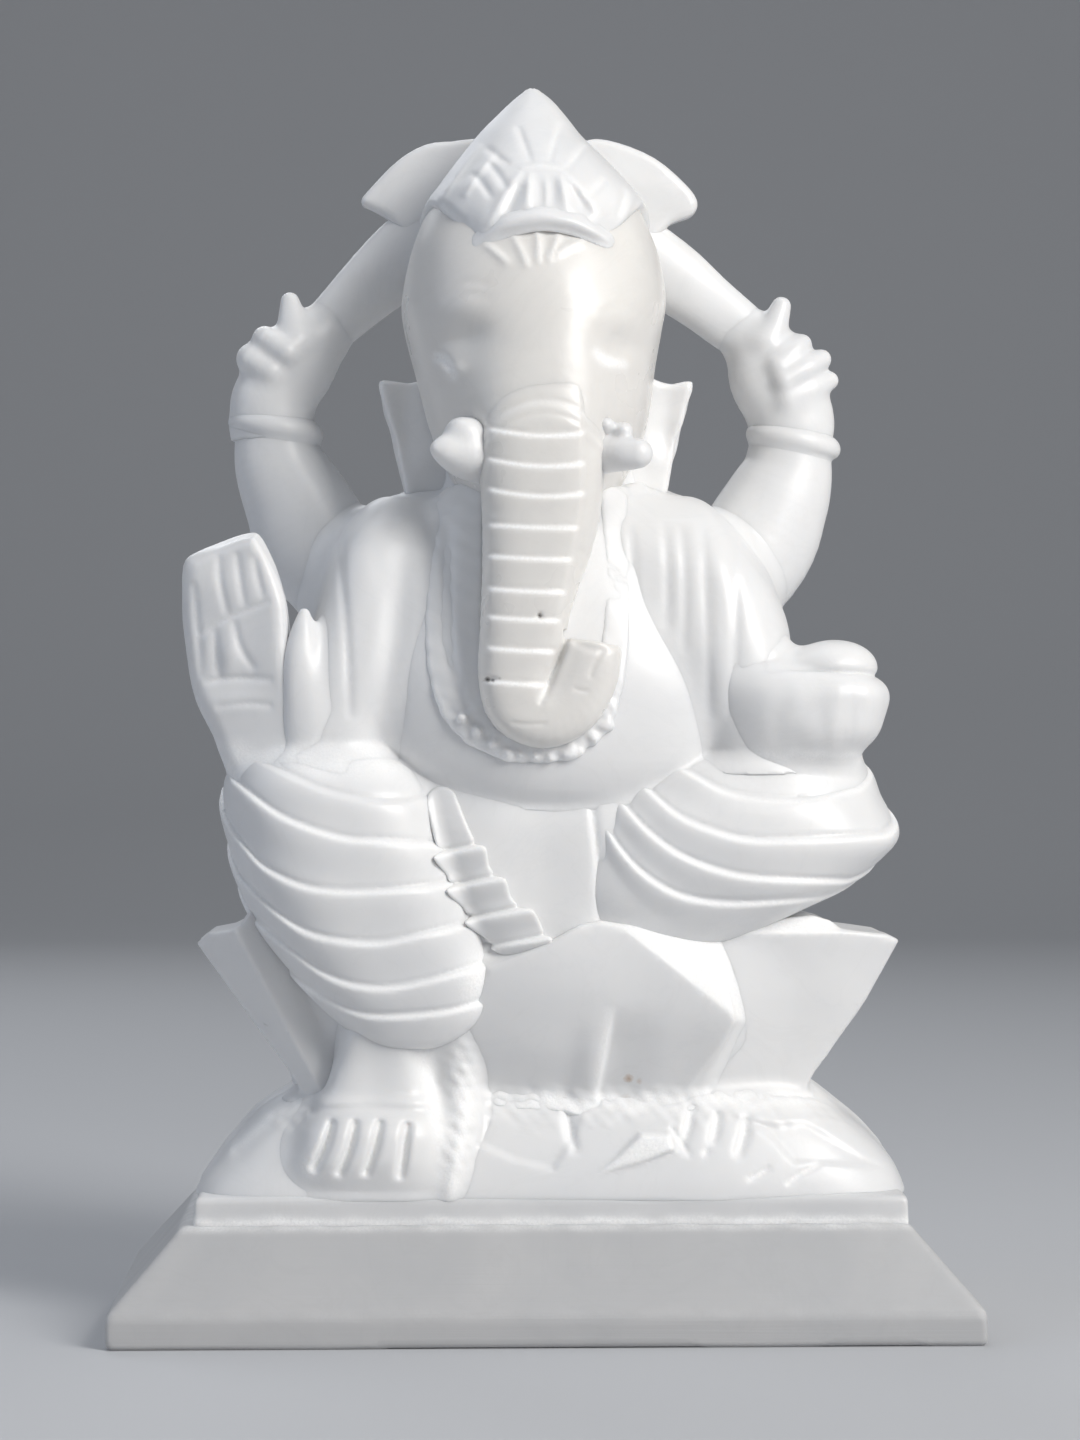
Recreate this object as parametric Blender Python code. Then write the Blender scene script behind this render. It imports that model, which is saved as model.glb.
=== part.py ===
"""Ganesha idol: a white marble figure, seated on a lotus over a stepped plinth.

Lengths are in millimetres and become metres through MM. The idol faces -Y, +Z is up, and its own left is +X.
Each carved form is a heap of clay: overlapping lumps that are melted into one closed body.
Bodies are then trimmed in PRIORITY order, so that a hairline joint is left between neighbours.
"""

import math

import bmesh
import bpy
from mathutils import Matrix, Vector
from mathutils.bvhtree import BVHTree

MM = 0.001
JOINT = 0.5  # hairline between two carved forms

# Plinth and step
PLINTH_WIDTH = 211.0
PLINTH_DEPTH = 114.0
PLINTH_LIP = 8.0
PLINTH_HEIGHT = 28.0
PLINTH_TOP_WIDTH = 176.0
PLINTH_TOP_DEPTH = 90.0
STEP_WIDTH = 174.0
STEP_DEPTH = 88.0
STEP_TOP = 35.0
SEAT_TOP = 99.0

# Figure
SHOULDER_HEIGHT = 198.0
CROWN_TIP = 308.0
ARM_DEPTH = 10.0  # the raised arms, hands and axes lie in one plane, behind the head
AXE_THICKNESS = 7.0

RING_SIDES = 28
STEPS_BETWEEN = 4  # rings added between two given sections

WHITE = (0.87, 0.88, 0.90, 1.0)
GREY = (0.80, 0.82, 0.85, 1.0)
WARM = (0.88, 0.87, 0.85, 1.0)


def clear_scene():
    for item in list(bpy.data.objects):
        bpy.data.objects.remove(item, do_unlink=True)


def marble(name, colour, roughness):
    material = bpy.data.materials.new(name)
    material.use_nodes = True
    shader = material.node_tree.nodes["Principled BSDF"]
    shader.inputs["Base Color"].default_value = colour
    shader.inputs["Roughness"].default_value = roughness
    shader.inputs["Metallic"].default_value = 0.0
    return material


def between(rows, steps):
    """Rows of numbers with a smooth run of rows added between each two (a Catmull-Rom spline)."""
    full = []
    for i in range(len(rows) - 1):
        before = rows[max(i - 1, 0)]
        start = rows[i]
        end = rows[i + 1]
        after = rows[min(i + 2, len(rows) - 1)]
        for k in range(steps):
            t = k / steps
            full.append(tuple(
                0.5 * (2 * q + (r - p) * t + (2 * p - 5 * q + 4 * r - s) * t * t + (3 * q - p - 3 * r + s) * t ** 3)
                for p, q, r, s in zip(before, start, end, after)
            ))
    full.append(tuple(rows[-1]))
    return full


class Clay:
    """Overlapping closed lumps, melted into one body by fire()."""

    def __init__(self):
        self.mesh = bmesh.new()

    def skin(self, rings):
        """One closed lump through rings of points, with flat ends."""
        loops = [[self.mesh.verts.new(Vector(point) * MM) for point in ring] for ring in rings]
        faces = [self.mesh.faces.new(loops[0]), self.mesh.faces.new(loops[-1])]
        for low, high in zip(loops, loops[1:]):
            for i, corner in enumerate(low):
                j = (i + 1) % len(low)
                faces.append(self.mesh.faces.new((corner, low[j], high[j], high[i])))
        bmesh.ops.recalc_face_normals(self.mesh, faces=faces)

    def ball(self, centre, radii, turn=(0.0, 0.0, 0.0)):
        """An ellipsoid, turned by degrees about X, Y and Z."""
        x, y, z = (math.radians(angle) for angle in turn)
        place = Matrix.Translation(Vector(centre) * MM)
        place @= Matrix.Rotation(z, 4, "Z") @ Matrix.Rotation(y, 4, "Y") @ Matrix.Rotation(x, 4, "X")
        place @= Matrix.Diagonal((radii[0] * MM, radii[1] * MM, radii[2] * MM, 1.0))
        bmesh.ops.create_icosphere(self.mesh, subdivisions=3, radius=1.0, matrix=place)

    def stack(self, sections, roundness=2.4):
        """Level sections (height, left, right, front, back), from rounded rectangles to ovals."""
        rings = []
        for height, left, right, front, back in between(sections, STEPS_BETWEEN):
            middle = ((left + right) / 2, (front + back) / 2)
            half = ((right - left) / 2, (back - front) / 2)
            ring = []
            for k in range(RING_SIDES):
                turn = 2 * math.pi * k / RING_SIDES
                across = math.copysign(abs(math.cos(turn)) ** (2 / roundness), math.cos(turn))
                deep = math.copysign(abs(math.sin(turn)) ** (2 / roundness), math.sin(turn))
                ring.append((middle[0] + half[0] * across, middle[1] + half[1] * deep, height))
            rings.append(ring)
        self.skin(rings)

    def limb(self, stations, depth_axis=(0.0, 1.0, 0.0)):
        """A tube with round ends through stations (x, y, z, half width, half depth)."""
        path = between(stations, STEPS_BETWEEN)
        points = [Vector(row[:3]) for row in path]
        rings = []
        for i, row in enumerate(path):
            along = (points[min(i + 1, len(path) - 1)] - points[max(i - 1, 0)]).normalized()
            side = along.cross(Vector(depth_axis)).normalized()
            deep = side.cross(along)
            ends = []
            if i == 0:
                ends = [(-math.sin(a), math.cos(a)) for a in (1.4, 1.0, 0.5)]
            ends.append((0.0, 1.0))
            if i == len(path) - 1:
                ends += [(math.sin(a), math.cos(a)) for a in (0.5, 1.0, 1.4)]
            for push, size in ends:
                centre = points[i] + along * push * min(row[3], row[4])
                rings.append([
                    centre + side * row[3] * size * math.cos(2 * math.pi * k / RING_SIDES)
                    + deep * row[4] * size * math.sin(2 * math.pi * k / RING_SIDES)
                    for k in range(RING_SIDES)
                ])
        self.skin(rings)

    def slab(self, outline, front, back):
        """A plate with the given outline (x, z), between two depths."""
        self.skin([[(x, front, z) for x, z in outline], [(x, back, z) for x, z in outline]])

    def fire(self, name, material, triangles, grain=1.3, polish=3):
        """The lumps as one smooth object of about so many triangles."""
        mesh = bpy.data.meshes.new(name)
        self.mesh.to_mesh(mesh)
        self.mesh.free()
        item = bpy.data.objects.new(name, mesh)
        bpy.context.scene.collection.objects.link(item)
        mesh.materials.append(material)
        melt = item.modifiers.new("Melt", "REMESH")
        melt.mode = "VOXEL"
        melt.voxel_size = grain * MM
        smooth = item.modifiers.new("Polish", "SMOOTH")
        smooth.factor = 0.5
        smooth.iterations = polish
        settle(item)
        thin = item.modifiers.new("Facets", "DECIMATE")
        thin.ratio = min(1.0, triangles / (2 * len(item.data.polygons)))
        settle(item)
        return item


def settle(item):
    """Replaces an object's mesh with what its modifiers make of it."""
    graph = bpy.context.evaluated_depsgraph_get()
    mesh = bpy.data.meshes.new_from_object(item.evaluated_get(graph), depsgraph=graph)
    item.modifiers.clear()
    item.data = mesh


def block(name, material, levels):
    """A crisp stepped block through levels (height, width, depth)."""
    clay = Clay()
    clay.skin([
        [(sx * width / 2, sy * depth / 2, height) for sx, sy in ((-1, -1), (1, -1), (1, 1), (-1, 1))]
        for height, width, depth in levels
    ])
    mesh = bpy.data.meshes.new(name)
    clay.mesh.to_mesh(mesh)
    clay.mesh.free()
    item = bpy.data.objects.new(name, mesh)
    bpy.context.scene.collection.objects.link(item)
    mesh.materials.append(material)
    return item


# ---------------------------------------------------------------- base

def make_plinth(stone):
    block("plinth", stone["grey"], (
        (0.0, PLINTH_WIDTH, PLINTH_DEPTH),
        (PLINTH_LIP, PLINTH_WIDTH, PLINTH_DEPTH),
        (PLINTH_HEIGHT, PLINTH_TOP_WIDTH, PLINTH_TOP_DEPTH),
    ))
    block("plinth_step", stone["grey"], (
        (PLINTH_HEIGHT + JOINT, STEP_WIDTH, STEP_DEPTH),
        (STEP_TOP, STEP_WIDTH, STEP_DEPTH),
    ))


def make_lotus_base(stone):
    clay = Clay()
    clay.stack((
        (STEP_TOP + JOINT, -86, 90, -42.5, 42.5),
        (40, -82, 88, -42, 42),
        (46, -77, 83, -40, 40),
        (52, -70, 76, -36, 36),
        (57, -63, 69, -31, 32),
        (60, -57, 63, -27, 29),
    ), roundness=3.6)
    clay.fire("lotus_base", stone["white"], 300, grain=2.0, polish=1)


def make_lotus_seat(stone):
    clay = Clay()
    clay.stack((
        (60.5, -57, 62, -26, 28),
        (66, -57, 63, -28, 31),
        (78, -60, 66, -32, 36),
        (90, -64, 68, -36, 40),
        (SEAT_TOP, -64, 66, -36, 41),
    ), roundness=2.8)
    clay.fire("lotus_seat", stone["white"], 150, grain=2.0, polish=1)


def make_petals(stone):
    front = Clay()
    front.stack((
        (56, -12, 35, -30, -14),
        (63, -17, 39, -34, -14),
        (78, -17, 46, -41, -14),
        (91, -12, 44, -45, -14),
        (97, -2, 33, -46, -18),
        (101, 9, 18, -45, -24),
    ), roundness=2.2)
    front.fire("lotus_petal_front", stone["white"], 200)
    for name, side, tip, foot in (("left", 1, 87.0, 66.0), ("right", -1, 85.0, 60.0)):
        corner = Clay()
        corner.stack([
            (height, *sorted((side * near, side * (foot + (tip - foot) * spread))), front, back)
            for height, near, spread, front, back in (
                (60, 44, 0.0, -26, 4),
                (70, 42, 0.36, -29, 6),
                (80, 42, 0.64, -33, 8),
                (90, 44, 0.93, -36, 9),
                (95, 48, 1.0, -35, 8),
                (99, 52, 0.50, -31, 4),
            )
        ], roundness=2.1)
        corner.fire("lotus_petal_front_" + name, stone["white"], 160)
    for number, angle in enumerate((12, 50, 90, 130, 168)):
        make_outer_petal(stone, number + 1, math.radians(angle))


def make_outer_petal(stone, number, angle):
    """One petal of the row that runs round the sides and the back."""
    across = Vector((-math.sin(angle) * 70, math.cos(angle) * 44, 0)).normalized()
    rings = []
    for step in range(9):
        rise = step / 8
        half_width = 19 * (1 - rise ** 3) ** 0.7 + 0.8
        thickness = 6 - 3 * rise
        reach = 0.86 + 0.22 * rise
        centre = Vector((2 + 66 * reach * math.cos(angle), 2 + 41 * reach * math.sin(angle), 60 + 37 * rise))
        out = across.cross(Vector((0, 0, 1)))
        rings.append([
            centre + across * half_width * math.cos(2 * math.pi * k / RING_SIDES)
            + out * thickness * math.sin(2 * math.pi * k / RING_SIDES)
            for k in range(RING_SIDES)
        ])
    petal = Clay()
    petal.skin(rings)
    petal.fire(f"lotus_petal_{number}", stone["white"], 110)


# ---------------------------------------------------------------- legs and cloth

def make_legs(stone):
    right = Clay()
    right.stack((
        (73, -45, -22, -45, -20),
        (80, -53, -15, -47, -14),
        (90, -62, -13, -49, -6),
        (100, -70, -17, -51, 2),
        (110, -75, -22, -52, 10),
        (120, -77.5, -26, -52, 16),
        (130, -79, -27, -50, 20),
        (136, -77.5, -32, -46, 20),
        (141, -70, -40, -40, 16),
    ), roundness=2.3)
    right.fire("right_leg", stone["white"], 400)
    left = Clay()
    left.stack((
        (96, 22, 44, -40, -12),
        (101, 13, 60, -43, -4),
        (106, 13, 69, -46, 4),
        (112, 14, 81, -47, 10),
        (120, 17, 88, -47, 16),
        (128, 22, 85.5, -45, 20),
        (135, 34, 81.5, -40, 20),
        (141, 44, 76, -34, 16),
    ), roundness=2.3)
    left.fire("left_leg", stone["white"], 400)


def make_foot(stone):
    clay = Clay()
    clay.limb((
        (-35, -32, 82, 9, 9),
        (-39, -32, 70, 9.5, 9.5),
        (-41, -33, 58, 11.5, 10.5),
        (-42, -35, 49, 15, 10),
    ))
    for toe in range(5):
        x = -54.5 + 6.4 * toe
        clay.limb((
            (x * 0.93 - 3, -36, 51, 3.4, 4),
            (x, -42, 47, 3.6, 4.2),
            (x - 1, -46.5, 44, 3.4, 3.4),
        ), depth_axis=(0.0, 0.6, 0.8))
    clay.fire("right_foot", stone["white"], 420, grain=1.0, polish=2)


def make_waist(stone):
    cloth = Clay()
    cloth.stack((
        (94, -14, 16, -35, -10),
        (104, -20, 19, -38, -8),
        (120, -25, 24, -39, -8),
        (134, -28, 28, -36, -8),
    ))
    cloth.fire("waist_cloth", stone["white"], 110)
    sash = Clay()
    sash.limb((
        (-24.5, -38, 127, 4.6, 5),
        (-19.5, -39.5, 115, 5.4, 5),
        (-14, -40, 105, 6.2, 5),
        (-8, -39.5, 96.5, 6.2, 4.5),
    ))
    sash.fire("waist_sash", stone["white"], 200, grain=1.0)


# ---------------------------------------------------------------- body

def make_torso(stone):
    clay = Clay()
    clay.stack((
        (SEAT_TOP + 1, -55, 57, -6, 38),
        (115, -61, 61, -6, 43),
        (140, -60, 60, -12, 44),
        (160, -58, 58, -28, 42),
        (180, -55, 55, -28, 37),
        (192, -50, 50, -25, 31),
        (SHOULDER_HEIGHT + 2, -42, 42, -20, 26),
        (208, -29, 28, -16, 22),
    ))
    clay.fire("torso", stone["white"], 300, grain=1.8)
    belly = Clay()
    belly.stack((
        (127.5, -8, 15, -35, -8),
        (130, -20, 26, -41, -4),
        (135, -31, 35, -45, 0),
        (143, -40, 42, -48, 0),
        (155, -44, 45, -48.5, 0),
        (168, -42, 43, -47, 0),
        (182, -37, 37, -43, 0),
        (196, -30, 30, -38, 0),
        (206, -25, 25, -34, 0),
    ), roundness=2.2)
    belly.fire("belly", stone["white"], 300)


def make_shawl(stone):
    right = Clay()
    right.stack((
        (145, -66, -40, -40, 0),
        (155, -64, -38, -42, 4),
        (170, -58, -35, -41, 6),
        (185, -53, -33, -37, 8),
        (194, -50, -33, -32, 8),
        (SHOULDER_HEIGHT + 1, -46, -35, -24, 6),
    ))
    right.fire("shawl_right", stone["white"], 160)
    left = Clay()
    left.stack((
        (145, 40, 60, -41, 0),
        (155, 32, 61, -43, 4),
        (170, 22, 61, -42, 6),
        (185, 19, 57, -39, 8),
        (194, 19, 50, -34, 8),
        (SHOULDER_HEIGHT + 1, 22, 44, -27, 6),
    ))
    left.fire("shawl_left", stone["white"], 180)


def make_garland(stone):
    clay = Clay()
    clay.limb((
        (-23, -32, 204, 5.5, 4.5),
        (-23, -40, 186, 5.5, 4.5),
        (-23.5, -44, 168, 5.5, 4.5),
        (-20, -46.5, 154, 5.5, 4.5),
        (-11, -48, 146, 5.5, 4.5),
        (0, -48, 144, 5, 4.5),
        (10, -47.5, 148, 5, 4.5),
        (17, -46.5, 158, 4.5, 4.5),
        (19.5, -45, 170, 4.5, 4.5),
        (20, -41.5, 184, 4.5, 4.5),
        (18.5, -35, 200, 4.5, 4.5),
    ))
    clay.fire("garland", stone["white"], 400, grain=1.1)


# ---------------------------------------------------------------- head

def make_head(stone):
    clay = Clay()
    clay.stack((
        (204, -18, 16, -36, 12),
        (212, -23, 21, -43, 15),
        (221, -26.5, 25, -48, 18),
        (230, -30, 27, -50, 20),
        (237, -31.7, 27.8, -51, 21),
        (246, -34.4, 29.6, -52, 22),
        (254, -35, 30.5, -51, 22),
        (264, -32.8, 29, -48, 21),
        (274, -29.5, 26, -42, 18),
        (281, -25, 22, -34, 14),
        (286, -17, 14, -26, 8),
    ), roundness=2.15)
    clay.fire("head", stone["warm"], 400)
    for name, side, reach, fat in (("left", 1, 26.0, 4.0), ("right", -1, 27.5, 6.2)):
        tusk = Clay()
        tusk.limb((
            (side * 14, -44, 216, fat, fat),
            (side * 20, -48, 215.5, fat, fat),
            (side * (reach - 2), -51, 214.5, fat * 0.6, fat * 0.6),
        ))
        tusk.fire("tusk_" + name, stone["white"], 120, grain=0.9)
    for name, side in (("left", 1), ("right", -1)):
        edge = 38.0 if side > 0 else 40.5
        ear = Clay()
        ear.slab([(side * x, z) for x, z in (
            (20, 240),
            (28, 236),
            (edge, 235),
            (edge - 0.5, 231),
            (edge - 3.5, 219),
            (edge - 6.5, 206),
            (24, 198),
            (14, 206),
        )], -12, 2)
        ear.fire("ear_" + name, stone["white"], 120)


def make_trunk(stone):
    clay = Clay()
    clay.limb((
        (-1, -38, 232, 12, 11),
        (-0.5, -43, 222, 14, 11),
        (-0.5, -45.5, 210, 14.4, 10.5),
        (-1, -47, 197, 13.8, 9.5),
        (-2.8, -48, 183, 11.8, 9),
        (-5, -49, 170, 10, 8.5),
        (-6.6, -49.5, 160, 8.8, 8),
        (-4.5, -50, 152.5, 8, 7.5),
        (2, -50, 150, 6.6, 7),
        (9, -50, 155, 6.6, 6.5),
        (12.5, -49.5, 162.5, 5.6, 6),
    ))
    clay.fire("trunk", stone["warm"], 420, grain=1.1)


def make_crown(stone):
    clay = Clay()
    clay.stack((
        (270, -26, 22.5, -44, 10),
        (275, -28.5, 25, -44, 14),
        (283, -25.5, 21.5, -38, 11),
        (289, -20.6, 16.8, -31, 7),
        (295.5, -15.3, 10.8, -25, 3),
        (300, -11.5, 7, -20, -1),
        (304.5, -7.2, 3.2, -15, -5),
        (CROWN_TIP, -3.4, -1.4, -11, -9),
    ), roundness=2.1)
    clay.fire("crown", stone["white"], 300, polish=1)
    band = Clay()
    band.limb((
        (-17, -43.5, 265.5, 1.8, 2.5),
        (-9, -46.5, 269, 1.8, 2.5),
        (-1.5, -47.5, 270.5, 1.8, 2.5),
        (6, -46.5, 269, 1.8, 2.5),
        (14, -43.5, 265.5, 1.8, 2.5),
    ))
    band.fire("crown_band", stone["white"], 120, grain=0.7, polish=1)


# ---------------------------------------------------------------- raised arms, hands and axes

RAISED = {
    # side: sign, wrist centre, wrist height, elbow centre, hand centre, axe hold, axe shoulder
    "left": (1, 64.5, 223.0, 56.0, 62.5, (57.0, 246.0), (29.0, 267.0)),
    "right": (-1, 67.0, 225.0, 57.0, 66.0, (58.0, 247.0), (35.0, 268.5)),
}


def make_raised_arms(stone):
    for name, (side, wrist, wrist_height, elbow, hand, hold, shoulder) in RAISED.items():
        arm = Clay()
        arm.limb([(side * x, y, z, half_width, half_depth) for x, y, z, half_width, half_depth in (
            (46, 8, 182, 13, 14),
            (elbow, 9, 197, 15, 13),
            (wrist - 1.2, ARM_DEPTH, wrist_height - 12, 11.5, 11),
            (wrist, ARM_DEPTH, wrist_height - 2, 10.2, 10),
            (wrist, ARM_DEPTH, wrist_height + 6, 9.6, 9.5),
        )])
        arm.fire("raised_arm_" + name, stone["white"], 200)
        ring = Clay()
        ring.limb([
            (side * wrist, ARM_DEPTH, wrist_height - 2, 11.6, 11.2),
            (side * wrist, ARM_DEPTH, wrist_height, 11.8, 11.4),
            (side * wrist, ARM_DEPTH, wrist_height + 2, 11.4, 11),
        ])
        ring.fire("bracelet_" + name, stone["white"], 140)
        fist = Clay()
        fist.ball((side * hand, ARM_DEPTH, 239), (10.6, 10, 12))
        for finger, (out, rise) in enumerate(((-1, 15.5), (4.5, 11), (8.3, 6.5), (9.2, 1))):
            fist.ball((side * (hand + out), ARM_DEPTH - 3, 239 + rise), (3.6, 8, 3.4 - 0.1 * finger))
        fist.fire("raised_hand_" + name, stone["white"], 240)
        shaft = Clay()
        shaft.limb((
            (side * (hold[0] + 5), ARM_DEPTH, hold[1] - 4, 6, 5),
            (side * hold[0], ARM_DEPTH, hold[1], 6.4, 5),
            (side * shoulder[0], ARM_DEPTH, shoulder[1], 9, 5),
            (side * (shoulder[0] - 10), ARM_DEPTH, shoulder[1] + 8, 9, 5),
        ))
        shaft.fire("axe_shaft_" + name, stone["white"], 140)


def make_axe_blades(stone):
    outlines = {
        "left": (
            (8, 299), (20, 297.5), (30, 293.5), (37, 287), (40.5, 282),
            (38.5, 278.5), (33, 276.5), (25, 270), (8, 276),
        ),
        "right": (
            (-12, 299), (-22, 298), (-30, 296.5), (-37, 292), (-43, 286), (-45.5, 281.5),
            (-42, 279.5), (-37, 277), (-29, 270), (-12, 276),
        ),
    }
    for name, outline in outlines.items():
        blade = Clay()
        blade.slab(outline, ARM_DEPTH - AXE_THICKNESS / 2, ARM_DEPTH + AXE_THICKNESS / 2)
        blade.fire("axe_blade_" + name, stone["white"], 160, grain=1.0, polish=2)


# ---------------------------------------------------------------- front hands

def make_front_hands(stone):
    palm = Clay()
    palm.slab((
        (-71, 195.6), (-78, 194), (-85, 190.3), (-87.7, 186), (-87.9, 178), (-86.8, 165),
        (-85.2, 155), (-80.5, 145), (-77, 136), (-62, 136), (-62, 150),
        (-63, 165), (-63.5, 178), (-65.5, 186), (-67.5, 191),
    ), -35, -19)
    palm.fire("blessing_hand", stone["white"], 180)
    thumb = Clay()
    thumb.limb((
        (-58.5, -31, 141, 7, 8),
        (-59.5, -34, 152, 6.6, 7.5),
        (-59.8, -36, 164, 5, 6),
        (-58.8, -36, 174, 2.4, 3),
    ))
    thumb.fire("blessing_thumb", stone["white"], 160, grain=1.0, polish=2)
    hand = Clay()
    hand.stack((
        (138, 48, 76, -40, -8),
        (146, 45, 80, -45, -8),
        (153, 45, 82, -48, -10),
        (159, 47, 80, -48, -12),
        (163, 52, 74, -44, -16),
    ))
    for rise in (0.0, 6.0):
        hand.ball((79 - rise * 0.35, -34, 157 - rise), (6, 9, 4))
    hand.fire("offering_hand", stone["white"], 240)
    sweet = Clay()
    sweet.ball((70.5, -34, 163.6), (11, 11, 6.8))
    sweet.fire("modak", stone["white"], 160, grain=1.0)


# ---------------------------------------------------------------- joints between the forms

PRIORITY = (
    "trunk", "tusk_left", "tusk_right", "crown_band", "crown", "head", "ear_left", "ear_right",
    "modak", "blessing_thumb", "blessing_hand", "offering_hand", "garland", "belly", "shawl_left", "shawl_right",
    "waist_sash", "right_leg", "left_leg", "waist_cloth", "right_foot",
    "bracelet_left", "bracelet_right", "raised_hand_left", "raised_hand_right",
    "raised_arm_left", "raised_arm_right", "axe_shaft_left", "axe_shaft_right",
    "axe_blade_left", "axe_blade_right", "torso",
    "lotus_petal_front", "lotus_petal_front_left", "lotus_petal_front_right",
    "lotus_petal_3", "lotus_petal_1", "lotus_petal_5", "lotus_petal_2", "lotus_petal_4",
    "lotus_base", "lotus_seat", "plinth_step", "plinth",
)


def surfaces_meet(item, cutter):
    """Whether the cutter's surface crosses the item's."""
    trees = []
    for thing in (item, cutter):
        mesh = bmesh.new()
        mesh.from_mesh(thing.data)
        trees.append(BVHTree.FromBMesh(mesh))
        mesh.free()
    return bool(trees[0].overlap(trees[1]))


def swollen_copy(item):
    """The item grown by the width of a joint, as a cutter."""
    cutter = bpy.data.objects.new(item.name + "_cutter", item.data.copy())
    bpy.context.scene.collection.objects.link(cutter)
    swell = cutter.modifiers.new("Joint", "DISPLACE")
    swell.mid_level = 0.0
    swell.strength = JOINT * MM
    settle(cutter)
    return cutter


def keep_largest_body(item):
    """Drops the crumbs that a cut can leave beside the main body."""
    mesh = bmesh.new()
    mesh.from_mesh(item.data)
    left = set(mesh.verts)
    bodies = []
    while left:
        body = set()
        edge = [next(iter(left))]
        while edge:
            vert = edge.pop()
            if vert in body:
                continue
            body.add(vert)
            edge += [link.other_vert(vert) for link in vert.link_edges]
        bodies.append(body)
        left -= body
    bodies.sort(key=len)
    for crumb in bodies[:-1]:
        bmesh.ops.delete(mesh, geom=list(crumb), context="VERTS")
    mesh.to_mesh(item.data)
    mesh.free()


def part_the_forms():
    """Cuts each form back from every form that comes before it in PRIORITY."""
    forms = [bpy.data.objects[name] for name in PRIORITY]
    cutters = [swollen_copy(form) for form in forms]
    bpy.context.view_layer.update()
    for place, form in enumerate(forms):
        for cutter in cutters[:place]:
            if not surfaces_meet(form, cutter):
                continue
            cut = form.modifiers.new(cutter.name, "BOOLEAN")
            cut.operation = "DIFFERENCE"
            cut.object = cutter
            settle(form)
        keep_largest_body(form)
    for cutter in cutters:
        bpy.data.objects.remove(cutter, do_unlink=True)


def shade():
    for item in bpy.context.scene.objects:
        if item.type == "MESH":
            item.data.shade_smooth()
            item.data.set_sharp_from_angle(angle=math.radians(50))


def main():
    clear_scene()
    stone = {
        "white": marble("Marble white", WHITE, 0.32),
        "grey": marble("Marble sawn", GREY, 0.5),
        "warm": marble("Marble warm", WARM, 0.3),
    }
    make_plinth(stone)
    make_lotus_base(stone)
    make_lotus_seat(stone)
    make_petals(stone)
    make_legs(stone)
    make_foot(stone)
    make_waist(stone)
    make_torso(stone)
    make_shawl(stone)
    make_garland(stone)
    make_head(stone)
    make_trunk(stone)
    make_crown(stone)
    make_raised_arms(stone)
    make_axe_blades(stone)
    make_front_hands(stone)
    part_the_forms()
    shade()


main()
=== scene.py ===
"""Looks of the marble Ganesha idol.

Every carved form is a scalar field in millimetres, negative inside the stone. Fields are joined with soft
fillets, cut with strokes and ledges, and turned into closed meshes. +X is the idol's own left, it faces -Y,
and +Z is up. p is always the place (x, y, z), as arrays. A name that ends in _body is a form before its cuts
and fillets. Names that end in _crushed, _highlight and _raw_and_highlight say how white the stone is made,
0 to 1: the white of raw stone in the cuts, and in places a painted highlight on edges and ledges that
catch the light.
"""

import math

import bmesh
import bpy
import numpy as np
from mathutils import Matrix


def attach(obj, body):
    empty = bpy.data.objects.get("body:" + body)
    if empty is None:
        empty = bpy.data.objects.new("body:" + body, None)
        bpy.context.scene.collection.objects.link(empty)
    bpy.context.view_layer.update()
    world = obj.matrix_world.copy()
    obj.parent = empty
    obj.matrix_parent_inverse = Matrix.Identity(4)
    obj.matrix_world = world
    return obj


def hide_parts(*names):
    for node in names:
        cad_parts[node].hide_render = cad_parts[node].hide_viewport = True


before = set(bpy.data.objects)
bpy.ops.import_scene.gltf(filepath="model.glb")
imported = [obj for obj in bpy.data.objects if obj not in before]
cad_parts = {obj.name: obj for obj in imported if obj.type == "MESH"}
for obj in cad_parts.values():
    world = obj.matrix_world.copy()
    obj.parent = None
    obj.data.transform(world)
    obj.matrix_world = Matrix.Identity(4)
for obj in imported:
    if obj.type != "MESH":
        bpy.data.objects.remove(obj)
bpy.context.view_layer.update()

import openvdb
from mathutils import Vector

MM = 0.001
COARSE = 1.0
FAR = 4.0  # how far outside the surface a field is kept, in millimetres
MERGE = 0.0012  # how far from flat faces may be and still be merged

PLINTH_HALF = (105.5, 57.0)
PLINTH_LIP = 8.0
PLINTH_TOP = 28.0
PLINTH_TOP_HALF = (88.0, 45.0)
STEP_HALF = (87.0, 44.0)
STEP_SHIFT = 1.5  # the step sits a little to the idol's left
STEP_TOP = 35.0
ARM_DEPTH = 10.0


# ---------------------------------------------------------------- fields

def between(rows, steps, closed=False):
    """Rows of numbers with a smooth run of rows added between each two (a Catmull-Rom spline)."""
    rows = np.array(rows, float)
    count = len(rows)
    full = []
    for i in range(count if closed else count - 1):
        if closed:
            p, q, r, s = (rows[(i + k) % count] for k in (-1, 0, 1, 2))
        else:
            p, q, r, s = (rows[min(max(i + k, 0), count - 1)] for k in (-1, 0, 1, 2))
        for t in np.arange(steps) / steps:
            full.append(0.5 * (2 * q + (r - p) * t + (2 * p - 5 * q + 4 * r - s) * t ** 2
                               + (3 * q - p - 3 * r + s) * t ** 3))
    if not closed:
        full.append(rows[-1])
    return np.array(full)


def join(first, second, soft=2.0):
    """Both forms as one, with a fillet."""
    near = np.maximum(soft - np.abs(first - second), 0.0) / soft
    return np.minimum(first, second) - near * near * soft * 0.25


def common(first, second, soft=1.0):
    """What both forms share, with a rounded edge."""
    return -join(-first, -second, soft)


def flow(form, other, soft=3.0, reach=7.0):
    """The form with a fillet that runs out onto another form and dives under its surface."""
    sunk = other + 0.07 * np.maximum(form, 0.0)
    return np.maximum(join(form, sunk, soft), form - reach)


def ramp(value, low, high):
    """0 below low, 1 above high, and a smooth rise between them."""
    t = np.clip((value - low) / (high - low), 0.0, 1.0)
    return t * t * (3 - 2 * t)


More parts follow.
